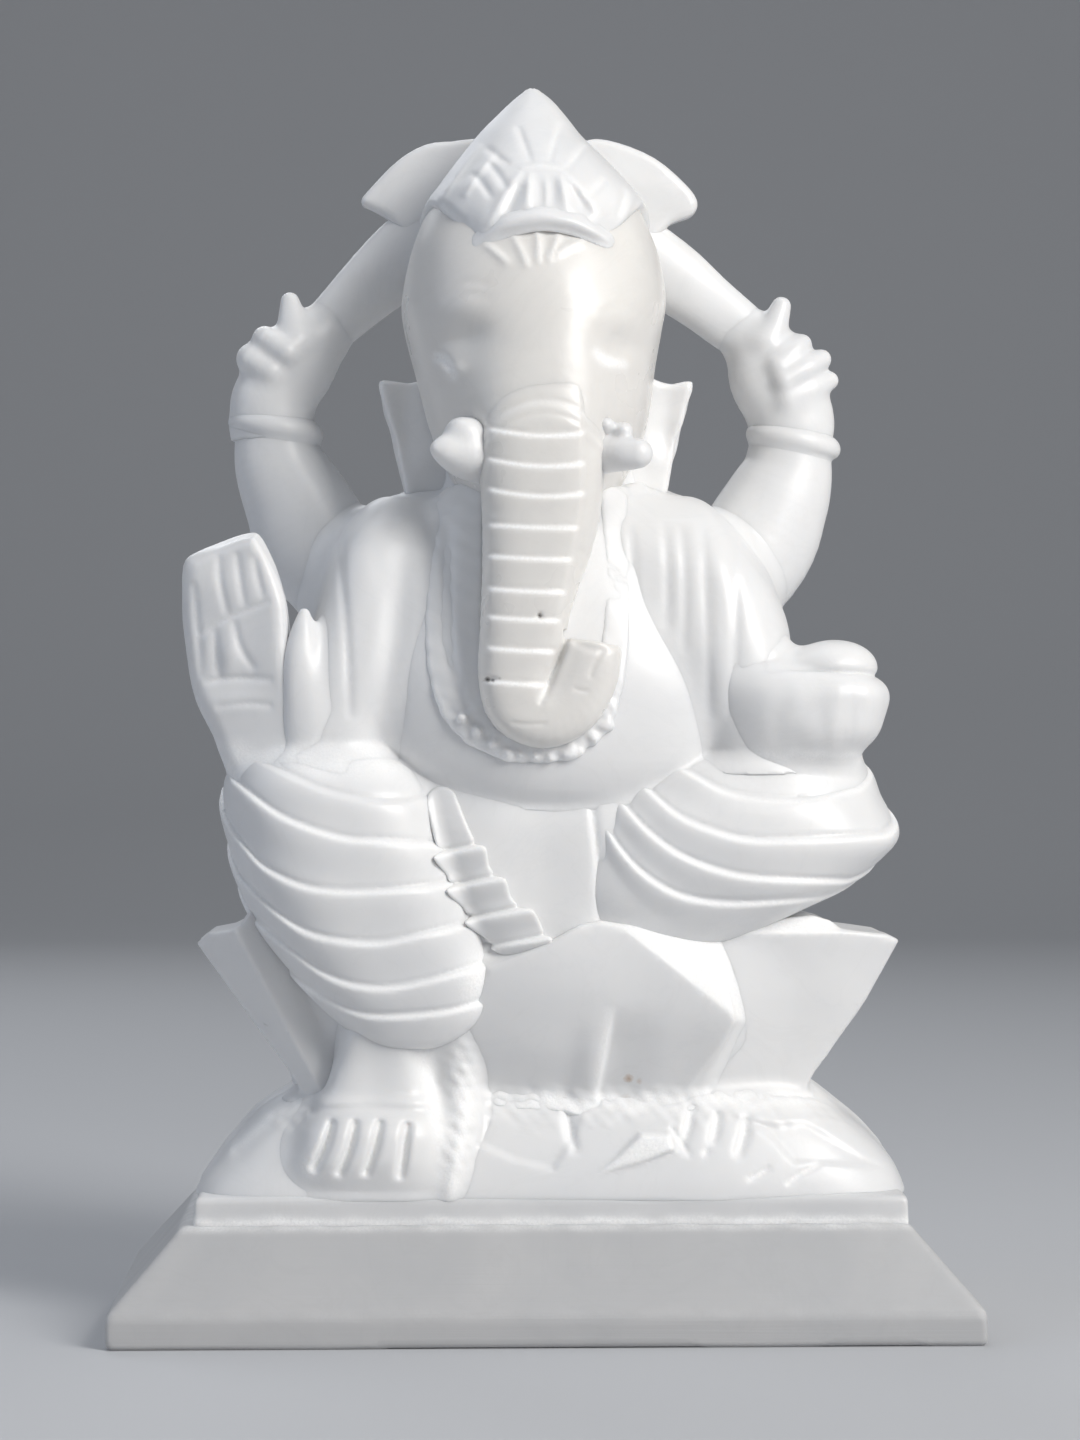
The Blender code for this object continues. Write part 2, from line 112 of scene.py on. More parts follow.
def wobble(p, size, seed=0.0):
    """A slow, smooth unevenness between -1 and 1."""
    x, y, z = (axis / size for axis in p)
    total = np.sin(1.7 * x + 0.6 * y + 1.1 * z + seed)
    total = total + np.sin(-0.8 * x + 1.9 * y + 0.7 * z + 2.1 * seed)
    return (total + np.sin(0.5 * x - 0.9 * y + 2.0 * z + 3.7 * seed)) / 3


def ball(p, centre, radii, turn=0.0, nod=0.0):
    """An ellipsoid, turned about Y and nodded about X by degrees."""
    x, y, z = (axis - c for axis, c in zip(p, centre))
    c, s = math.cos(math.radians(turn)), math.sin(math.radians(turn))
    x, z = c * x + s * z, c * z - s * x
    c, s = math.cos(math.radians(nod)), math.sin(math.radians(nod))
    y, z = c * y + s * z, c * z - s * y
    inner = np.sqrt((x / radii[0]) ** 2 + (y / radii[1]) ** 2 + (z / radii[2]) ** 2) + 1e-6
    slope = np.sqrt((x / radii[0] ** 2) ** 2 + (y / radii[1] ** 2) ** 2 + (z / radii[2] ** 2) ** 2) + 1e-6
    return inner * (inner - 1) / slope


def stack(p, sections, roundness=2.3, soft=3.0):
    """Level sections (height, left, right, front, back), from rounded rectangles to ovals."""
    x, y, z = p
    rows = between(sections, 4)
    left, right, front, back = (np.interp(z, rows[:, 0], rows[:, k]) for k in (1, 2, 3, 4))
    half_x = (right - left) / 2
    half_y = (back - front) / 2
    across = np.abs(x - (left + right) / 2) / half_x
    deep = np.abs(y - (front + back) / 2) / half_y
    ring = (across ** roundness + deep ** roundness + 1e-6) ** (1 / roundness)
    slope_x = (across / ring) ** (roundness - 1) / half_x
    slope_y = (deep / ring) ** (roundness - 1) / half_y
    side = (ring - 1) / np.sqrt(slope_x ** 2 + slope_y ** 2 + 1e-6)
    ends = np.maximum(rows[0, 0] - z, z - rows[-1, 0])
    return common(side, ends + 0 * side, soft)


def tube(p, stations, steps=5, square=2.0):
    """A round-ended limb through stations (x, y, z, half width, half depth). A high square flattens it."""
    x, y, z = p
    rows = between(stations, steps)
    best = np.inf
    for start, end in zip(rows, rows[1:]):
        run = end - start
        length = float(run[:3] @ run[:3])
        t = ((x - start[0]) * run[0] + (y - start[1]) * run[1] + (z - start[2]) * run[2]) / length
        t = np.clip(t, 0.0, 1.0)
        wide = start[3] + t * run[3]
        flat = wide / (start[4] + t * run[4])
        level = np.sqrt((x - start[0] - t * run[0]) ** 2 + (z - start[2] - t * run[2]) ** 2)
        deep = np.abs(y - start[1] - t * run[1]) * flat
        best = np.minimum(best, (level ** square + deep ** square + 1e-6) ** (1 / square) - wide)
    return best


def from_run(x, z, start, end):
    """How far along a straight run each place lies, 0 to 1, and its squared distance from the run."""
    run = end - start
    t = ((x - start[0]) * run[0] + (z - start[1]) * run[1]) / (run[:2] @ run[:2] + 1e-9)
    t = np.clip(t, 0.0, 1.0)
    return t, (x - start[0] - t * run[0]) ** 2 + (z - start[1] - t * run[1]) ** 2


def outline_gap(p, outline, steps=3):
    """Distance to a closed outline (x, z) seen from the front, negative inside it."""
    x, _, z = p
    corners = between(outline, steps, closed=True)
    gap = np.inf
    inside = np.zeros(np.broadcast(x, z).shape, bool)
    for start, end in zip(corners, np.roll(corners, -1, axis=0)):
        gap = np.minimum(gap, from_run(x, z, start, end)[1])
        crosses = (start[1] > z) != (end[1] > z)
        run = end - start
        rise = run[1] if abs(run[1]) > 1e-9 else 1e-9
        inside = inside ^ (crosses & (x < start[0] + (z - start[1]) * run[0] / rise))
    return np.where(inside, -np.sqrt(gap), np.sqrt(gap))


def patch(p, outline, soft):
    """1 inside an outline (x, z), 0 outside it."""
    return 1 - ramp(outline_gap(p, outline, 1), -soft, 0.3 * soft)


def plate(p, outline, front, back, edge=2.0, steps=3):
    """A plate with an outline (x, z) between two depths, with rounded edges. front may vary over it."""
    flat = outline_gap(p, outline, steps) + edge
    deep = np.abs(p[1] - (front + back) / 2) - (back - front) / 2 + edge
    outside = np.sqrt(np.maximum(flat, 0) ** 2 + np.maximum(deep, 0) ** 2)
    return np.minimum(np.maximum(flat, deep), 0) + outside - edge


def stroke(p, points, width, depth):
    """A chisel stroke seen from the front, along points (x, z): deepest in the middle, fading to its ends."""
    x, _, z = p
    rows = between(points, 4)
    cut = 0.0
    for i, (start, end) in enumerate(zip(rows, rows[1:])):
        t, off = from_run(x, z, start, end)
        along = (i + t) / (len(rows) - 1)
        fade = np.sqrt(np.clip(4 * along * (1 - along), 0.0, 1.0))
        cut = np.maximum(cut, depth * fade * np.exp(-off / width ** 2))
    return cut


def strokes(p, lines, width, depth):
    cut = 0.0
    for points in lines:
        cut = np.maximum(cut, stroke(p, points, width, depth))
    return cut


def relief(p, path, ground, height, edge):
    """A low band along a path (x, z, half width), standing proud of the form that it lies on."""
    x, y, z = p
    rows = between(path, 4)
    band = np.inf
    for start, end in zip(rows, rows[1:]):
        t, off = from_run(x, z, start, end)
        band = np.minimum(band, np.sqrt(off) - start[2] - t * (end[2] - start[2]))
    form = common(band + 0 * y, ground - height, edge)
    return common(form, -ground - 3.5, 1.0)


def line_height(p, points, back_rise=0.25, back_from=-36.0):
    """Height of a fold line over x, running on past its ends, and rising towards the back."""
    x, y, _ = p
    rows = between(points, 5)
    height = np.interp(x, rows[:, 0], rows[:, 1])
    first = (rows[1] - rows[0])[1] / (rows[1] - rows[0])[0]
    last = (rows[-1] - rows[-2])[1] / (rows[-1] - rows[-2])[0]
    height = height + np.minimum(x - rows[0, 0], 0) * first + np.maximum(x - rows[-1, 0], 0) * last
    return height + back_rise * np.maximum(y - back_from, 0)


def bell(value, width):
    """1 at zero, fading to 0 on both sides."""
    return np.exp(-(value / width) ** 2)


def most(first, *others):
    """The greatest of several fields, place by place."""
    for other in others:
        first = np.maximum(first, other)
    return first


def near(p, x, z, wide, tall):
    """1 at a place seen from the front, fading to 0 around it."""
    return np.exp(-((p[0] - x) / wide) ** 2 - ((p[2] - z) / tall) ** 2)


def uneven(p, mean, size, seed):
    """A strength that wavers round its mean and never passes 1."""
    return mean + (1 - mean) * wobble(p, size, seed)


def ledge(below, rise, run, height):
    """A fold: it steps out just below its line and falls back over its run."""
    fold = ramp(below, -0.2, rise) * (1 - ramp(below, rise, run))
    return height * (fold - 0.35 * bell(below + 0.35, 0.55))


def in_front(p, limit, soft=4.0):
    """1 in front of a depth, 0 behind it."""
    return 1 - ramp(p[1], limit, limit + soft)


# ---------------------------------------------------------------- meshes

def carve(name, form, low, high, cell, raw_and_highlight=None, look="white", merge=MERGE):
    """Samples a form on a grid, meshes its surface and makes it a piece of the idol."""
    stone = STONE[look]
    cell = cell * COARSE
    low = np.array(low, float) - 2 * cell
    counts = [int(math.ceil((high[k] + 2 * cell - low[k]) / cell)) for k in range(3)]
    x, y, z = ((low[k] + cell * np.arange(counts[k])).astype(np.float32) for k in range(3))
    field = form((x[:, None, None], y[None, :, None], z[None, None, :]))
    field = np.clip(np.broadcast_to(field, counts), -FAR, FAR).astype(np.float32)
    grid = openvdb.FloatGrid(FAR)
    grid.copyFromArray(np.ascontiguousarray(field))
    points, triangles, quads = grid.convertToPolygons(0.0, merge)
    points = points.astype(np.float64) * cell + low
    corners = np.concatenate([triangles.ravel(), quads.ravel()]).astype(np.int32)
    starts = np.concatenate([3 * np.arange(len(triangles)), triangles.size + 4 * np.arange(len(quads))])
    mesh = bpy.data.meshes.new(name)
    mesh.vertices.add(len(points))
    mesh.vertices.foreach_set("co", (points * MM).astype(np.float32).ravel())
    mesh.loops.add(len(corners))
    mesh.loops.foreach_set("vertex_index", corners)
    mesh.polygons.add(len(starts))
    mesh.polygons.foreach_set("loop_start", starts.astype(np.int32))
    mesh.update(calc_edges=True)
    piece = bpy.data.objects.new(name, mesh)
    bpy.context.scene.collection.objects.link(piece)
    keep_one_body(mesh)
    mesh.shade_smooth()
    mark_raw_and_highlight(mesh, raw_and_highlight)
    mesh.materials.append(stone)
    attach(piece, "root")
    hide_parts(name.replace("form_", ""))


def mark_raw_and_highlight(mesh, raw_and_highlight):
    """Writes how white the stone is made at each vertex, for the material to read: raw stone, and painted
    highlights.
    """
    points = np.empty(len(mesh.vertices) * 3, np.float32)
    mesh.vertices.foreach_get("co", points)
    x, y, z = points.reshape(-1, 3).T / MM
    raw = 0 * x if raw_and_highlight is None else np.clip(raw_and_highlight((x, y, z)), 0, 1)
    mesh.attributes.new("raw_and_highlight", "FLOAT", "POINT").data.foreach_set("value", raw.astype(np.float32))


def keep_one_body(surface):
    """Drops loose crumbs, and turns the surface to face out."""
    mesh = bmesh.new()
    mesh.from_mesh(surface)
    left = set(mesh.verts)
    bodies = []
    while left:
        body = set()
        edge = [left.pop()]
        while edge:
            vert = edge.pop()
            body.add(vert)
            for link in vert.link_edges:
                other = link.other_vert(vert)
                if other in left:
                    left.discard(other)
                    edge.append(other)
        bodies.append(body)
    bodies.sort(key=len)
    for crumb in bodies[:-1]:
        bmesh.ops.delete(mesh, geom=list(crumb), context="VERTS")
    if mesh.calc_volume(signed=True) < 0:
        bmesh.ops.reverse_faces(mesh, faces=mesh.faces)
    mesh.to_mesh(surface)
    mesh.free()


# ---------------------------------------------------------------- marble

MIX_FIRST, MIX_SECOND, MIX_RESULT = 6, 7, 2  # the colour sockets of a Mix node
CLOUD_SCALE, VEIN_SCALE, GRIT_SCALE, CRYSTAL_SCALE = 22.0, 34.0, 1500.0, 2600.0
SAW_SCALE = (12.0, 12.0, 900.0)
# the white of raw stone in the cuts, also used for painted highlights on edges and ledges that catch the
# light
RAW_AND_HIGHLIGHT_WHITE = (0.97, 0.97, 0.965, 1.0)
CRUSHED_ROUGHNESS = 0.38  # how much rougher the raw stone is


def feed(tree, target, inputs):
    """Sets each input of a node to a constant, or links it to the output that feeds it."""
    for socket, value in inputs.items():
        if isinstance(value, bpy.types.NodeSocket):
            tree.links.new(value, target.inputs[socket])
        else:
            target.inputs[socket].default_value = value


def node(tree, kind, inputs, **settings):
    made = tree.nodes.new(kind)
    for name, value in settings.items():
        setattr(made, name, value)
    feed(tree, made, inputs)
    return made


def noise(tree, place, scale, detail, rough=0.5, distortion=0.0):
    inputs = {"Vector": place, "Scale": scale, "Detail": detail, "Roughness": rough, "Distortion": distortion}
    return node(tree, "ShaderNodeTexNoise", inputs).outputs["Fac"]


def span(tree, source, low, high, to_low=0.0, to_high=1.0):
    inputs = {"Value": source, "From Min": low, "From Max": high, "To Min": to_low, "To Max": to_high}
    return node(tree, "ShaderNodeMapRange", inputs, clamp=True).outputs["Result"]


def maths(tree, operation, *terms):
    return node(tree, "ShaderNodeMath", dict(enumerate(terms)), operation=operation).outputs[0]


def bump(tree, height, strength, distance, normal=None):
    inputs = {"Height": height, "Strength": strength, "Distance": distance}
    if normal is not None:
        inputs["Normal"] = normal
    return node(tree, "ShaderNodeBump", inputs).outputs["Normal"]


def blend_colours(tree, factor, first, second):
    inputs = {"Factor": factor, MIX_FIRST: first, MIX_SECOND: second}
    return node(tree, "ShaderNodeMix", inputs, data_type="RGBA").outputs[MIX_RESULT]


def spot(tree, place, colour, centre, radius, tint, strength):
    """A small mark seen from the front, ragged at its edge. It paints rust stains, and painted shade in the
    trunk's pits.
    """
    middle = (centre[0] * MM, 0.0, centre[1] * MM)
    flat = node(tree, "ShaderNodeVectorMath", {0: place, 1: (1.0, 0.0, 1.0)}, operation="MULTIPLY")
    gap = node(tree, "ShaderNodeVectorMath", {0: flat.outputs[0], 1: middle}, operation="DISTANCE")
    ragged = noise(tree, place, 900.0, 3.0, 0.6)
    edge = maths(tree, "MULTIPLY_ADD", ragged, radius * MM, gap.outputs["Value"])
    inside = span(tree, edge, 0.55 * radius * MM, 1.5 * radius * MM, strength, 0.0)
    return blend_colours(tree, inside, colour, tint)


def marble(name, slot, body, cloud, roughness, sawn=0.0, spots=()):
    """White marble: faint grey clouds, fine veins, tiny crystal grain, and a raw white in the cuts that also
    paints highlights on edges and ledges, with small marks: rust stains, and painted shade in pits.
    """
    material = bpy.data.materials.new(name)
    material.use_nodes = True
    material["slot"] = slot
    tree = material.node_tree
    place = node(tree, "ShaderNodeTexCoord", {}).outputs["Object"]
    cloudy = span(tree, noise(tree, place, CLOUD_SCALE, 4.0, 0.55, 0.6), 0.38, 0.68)
    colour = blend_colours(tree, cloudy, body, cloud)
    veins = noise(tree, place, VEIN_SCALE, 6.0, 0.62, 1.4)
    off_vein = maths(tree, "ABSOLUTE", maths(tree, "SUBTRACT", veins, 0.5))
    vein_colour = tuple(0.80 * c for c in cloud[:3]) + (1.0,)
    colour = blend_colours(tree, span(tree, off_vein, 0.0, 0.03, 0.07, 0.0), colour, vein_colour)
    grit = noise(tree, place, GRIT_SCALE, 3.0, 0.6)
    # the per-vertex mask mixes in the white: raw stone in the cuts, and painted highlights where edges and
    # ledges catch the light
    raw_and_highlight = node(tree, "ShaderNodeAttribute", {}, attribute_name="raw_and_highlight").outputs["Fac"]
    raw_and_highlight_grit = maths(tree, "MULTIPLY", raw_and_highlight, span(tree, grit, 0.30, 0.62, 0.55, 1.0))
    colour = blend_colours(tree, raw_and_highlight_grit, colour, RAW_AND_HIGHLIGHT_WHITE)
    for centre, radius, tint, strength in spots:
        colour = spot(tree, place, colour, centre, radius, tint, strength)
    handled = noise(tree, place, 60.0, 3.0, 0.5)
    gloss = span(tree, handled, 0.3, 0.7, roughness - 0.05, roughness + 0.08)
    normal = bump(tree, noise(tree, place, CRYSTAL_SCALE, 2.0, 0.5), 0.10, 0.0001)
    normal = bump(tree, grit, raw_and_highlight_grit, 0.00015, normal)
    if sawn:
        level = node(tree, "ShaderNodeMapping", {"Vector": place, "Scale": SAW_SCALE}).outputs["Vector"]
        normal = bump(tree, noise(tree, level, 1.0, 3.0, 0.6), sawn, 0.0002, normal)
    feed(tree, tree.nodes["Principled BSDF"], {
        "Base Color": colour,
        "Roughness": maths(tree, "MULTIPLY_ADD", raw_and_highlight_grit, CRUSHED_ROUGHNESS, gloss),
        "Normal": normal,
        "Specular IOR Level": 0.5,
        "IOR": 1.5,
        "Subsurface Weight": 0.35,
        "Subsurface Radius": (1.0, 0.9, 0.8),
        "Subsurface Scale": 0.0025,
    })
    return material


RUST = (0.42, 0.24, 0.10, 1.0)
# near-black, painted shade for the insides of the trunk's pits
PIT_SHADE = (0.06, 0.05, 0.04, 1.0)
WHITE = ((0.80, 0.80, 0.80, 1.0), (0.75, 0.755, 0.765, 1.0))
WARM = ((0.785, 0.770, 0.740, 1.0), (0.735, 0.72, 0.70, 1.0))
# the plinth's darker grey: its own greyer stone, darkened further as painted shade for its sloping faces
SAWN_GREY_AND_SHADE = ((0.50, 0.50, 0.505, 1.0), (0.455, 0.46, 0.47, 1.0))
DRESSED = ((0.68, 0.68, 0.685, 1.0), (0.63, 0.635, 0.645, 1.0))
RUST_SPOTS = (  # place (x, z), radius, tint, strength
    ((20.4, 62.5), 1.3, RUST, 0.75),
    ((23.0, 61.8), 0.9, RUST, 0.35),
    ((19.8, 57.5), 1.3, RUST, 0.22),
)
# painted shade: near-black spots laid over the trunk's carved pits
TRUNK_PIT_SHADE = (
    ((-2.1, 174.9), 0.75, PIT_SHADE, 0.9),
    ((-14.4, 159.7), 0.8, PIT_SHADE, 0.85),
    ((-13.2, 159.4), 0.6, PIT_SHADE, 0.7),
    ((-11.6, 159.9), 0.5, PIT_SHADE, 0.4),
)
STONE = {
    "white": marble("Marble white", "white_marble", *WHITE, 0.36),
    "stained": marble("Marble stained", "white_marble", *WHITE, 0.36, spots=RUST_SPOTS),
    "warm": marble("Marble warm", "warm_marble", *WARM, 0.30),
    "trunk": marble("Marble trunk", "warm_marble", *WARM, 0.30, spots=TRUNK_PIT_SHADE),
    "sawn": marble("Marble sawn", "sawn_marble", *SAWN_GREY_AND_SHADE, 0.50, sawn=0.35),
    "dressed": marble("Marble dressed", "sawn_marble", *DRESSED, 0.44, sawn=0.15),
}


# ---------------------------------------------------------------- base

def frustum(p, half, top_half, low, lip, top, worn=1.2):
    x, y, z = p
    sides = []
    for k, axis in ((0, x), (1, y)):
        edge = np.abs(axis) - half[k]
        lean = math.hypot(top - lip, half[k] - top_half[k])
        slope = (edge * (top - lip) + (z - lip) * (half[k] - top_half[k])) / lean
        sides.append(common(edge + 0 * slope, slope, worn))
    body = common(sides[0], sides[1], worn)
    return common(common(body, z - top, worn), low - z, worn)


def plinth(p):
    form = frustum(p, PLINTH_HALF, PLINTH_TOP_HALF, 0.0, PLINTH_LIP, PLINTH_TOP)
    ragged = 0.25 * np.maximum(wobble(p, 1.9, 4.0), 0) * bell(p[2] - PLINTH_TOP, 1.6)
    return form + ragged + 0.12 * wobble(p, 14.0, 1.0)


def plinth_raw_and_highlight(p):
    # the band under the top edge is raw stone along the crease; the thin line along the lip is a painted
    # highlight
    arris = most(0.45 * ramp(p[2], 25.8, 27.6), 0.12 * bell(p[2] - PLINTH_LIP, 1.2))
    return arris * uneven(p, 0.65, 2.4, 1.0)


def step(p):
    x, y, z = p
    top_half = (STEP_HALF[0] - 0.4, STEP_HALF[1] - 0.6)
    form = frustum((x - STEP_SHIFT, y, z), STEP_HALF, top_half, PLINTH_TOP - 2, PLINTH_TOP, STEP_TOP)
    chips = 0.25 * np.maximum(wobble(p, 2.2, 4.0), 0.0) * (1 - ramp(z, 28.5, 30.5))
    return form + 0.3 * wobble(p, 9.0, 2.0) + chips + 0.5 * ramp(z, 33, 35.2)


def step_crushed(p):
    foot = bell(p[2] - PLINTH_TOP - 0.7 + 0.5 * wobble(p, 2.6, 1.0), 1.2)
    return most((0.75 + 0.2 * wobble(p, 5.0, 2.0)) * foot, 0.35 * ramp(p[2], 34.2, 34.9))


MOUND_NICKS = (
    ((5.5, 55), (5.8, 51), (7.2, 45)),
    ((36, 55.5), (35, 51), (33, 46)),
    ((42.2, 53.5), (41.8, 51), (40.5, 47)),
    ((49.2, 52.5), (48.6, 49), (46.6, 44)),
    ((12.4, 62), (12, 59), (12.2, 56)),
)
MOUND_SLASHES = (
    ((54.5, 41.3), (52, 39.8), (49, 38.4)),
    ((67, 41.8), (62, 39.6), (58.4, 37.2)),
    ((39.4, 45.6), (39, 45), (38.6, 44.4)),
    ((30.5, 51), (33, 47), (35, 44)),
)
POINTED_LEAF = ((12, 39.6), (17.5, 44.5), (23, 49.8), (30.5, 49.4), (31.5, 45.5), (23, 42.3))
LEFT_PANEL = ((-16, 58), (11, 57.5), (7, 48), (2, 40.5), (-8, 43), (-17, 47))
RIGHT_PANEL = ((51, 52), (64, 52), (84, 40), (60, 42))
LEFT_ARRIS = ((-60.5, 59), (-68, 51.5), (-77, 43.5))
RIB = ((-20.5, 59), (-21, 50), (-24, 33))


def lotus_base_body(p):
    return stack(p, (
        (33, -86.5, 90.5, -43.5, 43.5), (37, -84, 89, -43, 43), (41, -80.5, 87, -42, 42),
        (45, -77, 83.6, -40.7, 40.7), (49, -73.6, 79.8, -39, 39), (53, -69.5, 75, -37, 37),
        (57, -63.5, 70, -34, 34), (60, -59, 66, -31.5, 31.5), (63, -56, 62.5, -28, 29),
    ), roundness=5.0, soft=1.5)


def lotus_base(p):
    x, y, z = p
    front = in_front(p, -22)
    form = lotus_base_body(p) + 0.3 * wobble(p, 11.0, 3.0)
    form = form - front * patch(p, POINTED_LEAF, 0.9) * (0.6 + 0.22 * np.maximum(z - 40, 0))
    form = form + front * (0.9 * patch(p, LEFT_PANEL, 1.4) + 0.8 * patch(p, RIGHT_PANEL, 1.6))
    form = form + front * (strokes(p, MOUND_NICKS, 1.1, 1.6) + strokes(p, MOUND_SLASHES, 0.6, 0.8))
    form = form + 0.8 * stroke(p, LEFT_ARRIS, 2.0, 1.0) - 1.6 * stroke(p, RIB, 1.9, 1.0) * front
    neck = ramp(z + 2.5 * wobble(p, 5.0, 2.0), 49, 54.5) * in_front(p, -26)
    form = form + 0.26 * (wobble(p, 1.8, 2.0) + wobble(p, 1.05, 5.0)) * neck
    row = np.abs(np.sin(np.arctan2(y / 42, (x - 2) / 88) * 7))
    return form - 1.4 * row * ramp(y, -16, 4) * ramp(z, 36, 44) * (1 - ramp(z, 58, 63))


def lotus_base_raw_and_highlight(p):
    # the left arris and the pointed leaf are painted highlights on an edge and a facet that catch the light;
    # the nicks, the slashes, the rib and the neck are raw stone
    nicks = most(strokes(p, MOUND_NICKS, 1.3, 1.0), strokes(p, MOUND_SLASHES, 0.8, 1.0))
    arris = most(0.9 * stroke(p, LEFT_ARRIS, 1.3, 1.0), stroke(p, RIB, 1.9, 1.0))
    cut = most(nicks, arris, 0.9 * patch(p, POINTED_LEAF, 1.0))
    neck = 0.8 * ramp(p[2] + 1.5 * wobble(p, 4.0, 2.0), 52, 57) * uneven(p, 0.7, 1.8, 1.0)
    return most(cut, neck) * in_front(p, -10)


def lotus_seat_body(p):
    return stack(p, (
        (56, -54, 60, -30, 27), (64, -56, 62, -34, 31), (78, -60, 66, -38.5, 36),
        (90, -63, 68, -40, 40), (98, -63, 66, -39, 41),
    ), roundness=3.6)


def seat_and_mound(p):
    return join(lotus_seat_body(p), lotus_base_body(p), 3.0)


def lotus_seat(p):
    return lotus_seat_body(p) + 0.3 * wobble(p, 8.0, 5.0)


FRONT_PETAL = (
    (-19, 70), (-18.5, 80), (-14, 90), (-5, 94), (2, 97), (8, 100.4), (13, 101.5), (22, 100), (30, 97.6),
    (41.6, 94.2), (44.6, 85), (46.3, 76.6), (42, 67), (37, 56), (28, 54), (14, 56.5), (-4, 58), (-17, 58),
)


def front_bevel(x, z):
    """How far a place is above the slanting edge that cuts off the front petal's upper left corner."""
    return (0.5 * x + 0.62 * z - 71.0) / 0.797


def petal_front_body(p):
    x, _, z = p
    front = -45.6 + 0.0115 * (92 - z) ** 2 + 0.007 * np.maximum(4 - x, 0) ** 2
    front = front + 0.55 * np.maximum(front_bevel(x, z), 0)
    ridge = x - 33.5 - 0.66 * (z - 58)
    front = front + 0.5 * np.maximum(ridge, 0) * (1 - ramp(z, 74, 80))
    crease = x - 12.6 - 0.16 * (z - 57)
    lower = 1 - ramp(z, 68, 82)
    front = front + 2.2 * ramp(crease, -0.5, 0.9) * (1 - ramp(crease, 1.5, 15)) * lower
    front = front - 1.0 * bell(crease + 3.5, 3.5) * lower
    front = front + 1.6 * (1 - ramp(z, 56, 70)) * (1 - ramp(crease, -8, -1))
    return plate(p, FRONT_PETAL, front, -10, edge=1.3, steps=1)


def petal_front(p):
    rough = 0.26 * (1 - ramp(p[2], 58, 63)) * (wobble(p, 1.9, 5.0) + wobble(p, 1.1, 3.0))
    return flow(petal_front_body(p), seat_and_mound(p), 5.0, 8.0) + 0.2 * wobble(p, 7.0, 5.0) + rough


def petal_front_raw_and_highlight(p):
    x, _, z = p
    # the bevel, the top edge and the crease are painted highlights on faces that catch the light; the rim
    # along the bottom is raw stone
    rim = ramp(61.5 - z + 1.5 * wobble(p, 3.5, 1.0), 1.5, 4.0) * uneven(p, 0.75, 1.8, 1.0)
    bevel = 0.7 * ramp(front_bevel(x, z), -0.3, 1.5)
    top = 0.5 * ramp(z - 101 + 0.30 * np.abs(x - 13), -1.5, 1.0)
    crease = 0.6 * stroke(p, ((15.5, 81), (13.6, 70), (12.2, 58)), 1.0, 1.0)
    return most(rim, bevel, top, crease) * in_front(p, -20)


LEFT_PETAL = (
    (41.5, 56), (42, 60), (47.5, 71), (49, 79.5), (46.5, 88), (43.5, 94.6), (50, 99.3), (57, 101),
    (66, 101.8), (70.3, 100.6), (72.8, 98.8), (84.5, 97.2), (87.6, 95.7), (84, 88.4), (79.8, 81.2),
    (74.8, 74), (70.2, 67), (67, 63), (65, 59.5), (60, 56),
)
RIGHT_PETAL = (
    (-61, 60.5), (-63.3, 64.5), (-66.6, 69), (-71.5, 75.8), (-76.6, 82.8), (-81.6, 89.8), (-85.4, 95.2),
    (-82.0, 97.8), (-76.7, 98.9), (-74.2, 100.2), (-72.0, 103.5), (-66, 106), (-56, 99), (-46, 84),
    (-44, 70), (-46, 57), (-58, 56.5),
)


def petal_corner_left(p):
    x, _, z = p
    front = -38.5 + 0.20 * (x - 49) + 0.24 * (98 - z) + 0.004 * (x - 66) ** 2
    front = front + 3.0 * ramp(z, 97.6, 100.5)
    form = flow(plate(p, LEFT_PETAL, front, 6, edge=1.2, steps=1), seat_and_mound(p), 4.0, 6.0)
    return form + 0.25 * wobble(p, 7.0, 8.0)


def petal_corner_left_raw_and_highlight(p):
    # the rim along the bottom is raw stone; the top edge is a painted highlight where the ledge catches the
    # light
    rim = ramp(60.5 - p[2] + 1.3 * wobble(p, 3.5, 4.0), 1.2, 3.5) * uneven(p, 0.75, 1.8, 2.0)
    return most(rim, 0.8 * ramp(p[2], 97.2, 99) * (1 - ramp(p[0], 70, 74))) * in_front(p, -15)


def petal_corner_right(p):
    x, _, z = p
    ridge = x + 75 - 0.52 * (98 - z)
    front = -36.5 + 0.18 * (98 - z) + 0.85 * np.maximum(-ridge, 0) + 0.22 * np.maximum(ridge, 0)
    front = front + 1.5 * bell(ridge - 9, 3.0)
    form = flow(plate(p, RIGHT_PETAL, front, 6, edge=1.3, steps=1), seat_and_mound(p), 4.0, 6.0)
    return form + 0.25 * wobble(p, 7.0, 3.0)


def outer_petal(p, angle):
    """One petal of the row round the sides and back: a pointed leaf that leans out, with a raised mid-rib."""
    x, y, z = p
    c, s = math.cos(angle), math.sin(angle)
    across = np.array((-s * 70.0, c * 44.0))
    across = across / np.linalg.norm(across)
    rise = np.clip((z - 58) / 39, 0.0, 1.0)
    reach = 0.85 + 0.24 * rise
    off_x = x - 2 - 66 * reach * c
    off_y = y - 2 - 41 * reach * s
    along = off_x * across[0] + off_y * across[1]
    out = off_x * across[1] - off_y * across[0]
    width = 20.5 * (1 - rise ** 3) ** 0.6 + 0.4
    thick = 6.5 - 3.5 * rise
    ring = np.sqrt((along / width) ** 2 + (out / thick) ** 2)
    rib = 0.9 * bell(along, 1.6) * (1 - rise) ** 0.3
    form = (ring - 1) * thick - rib
    return common(form, np.maximum(58 - z, z - 97.5) + 0 * form, 1.5)


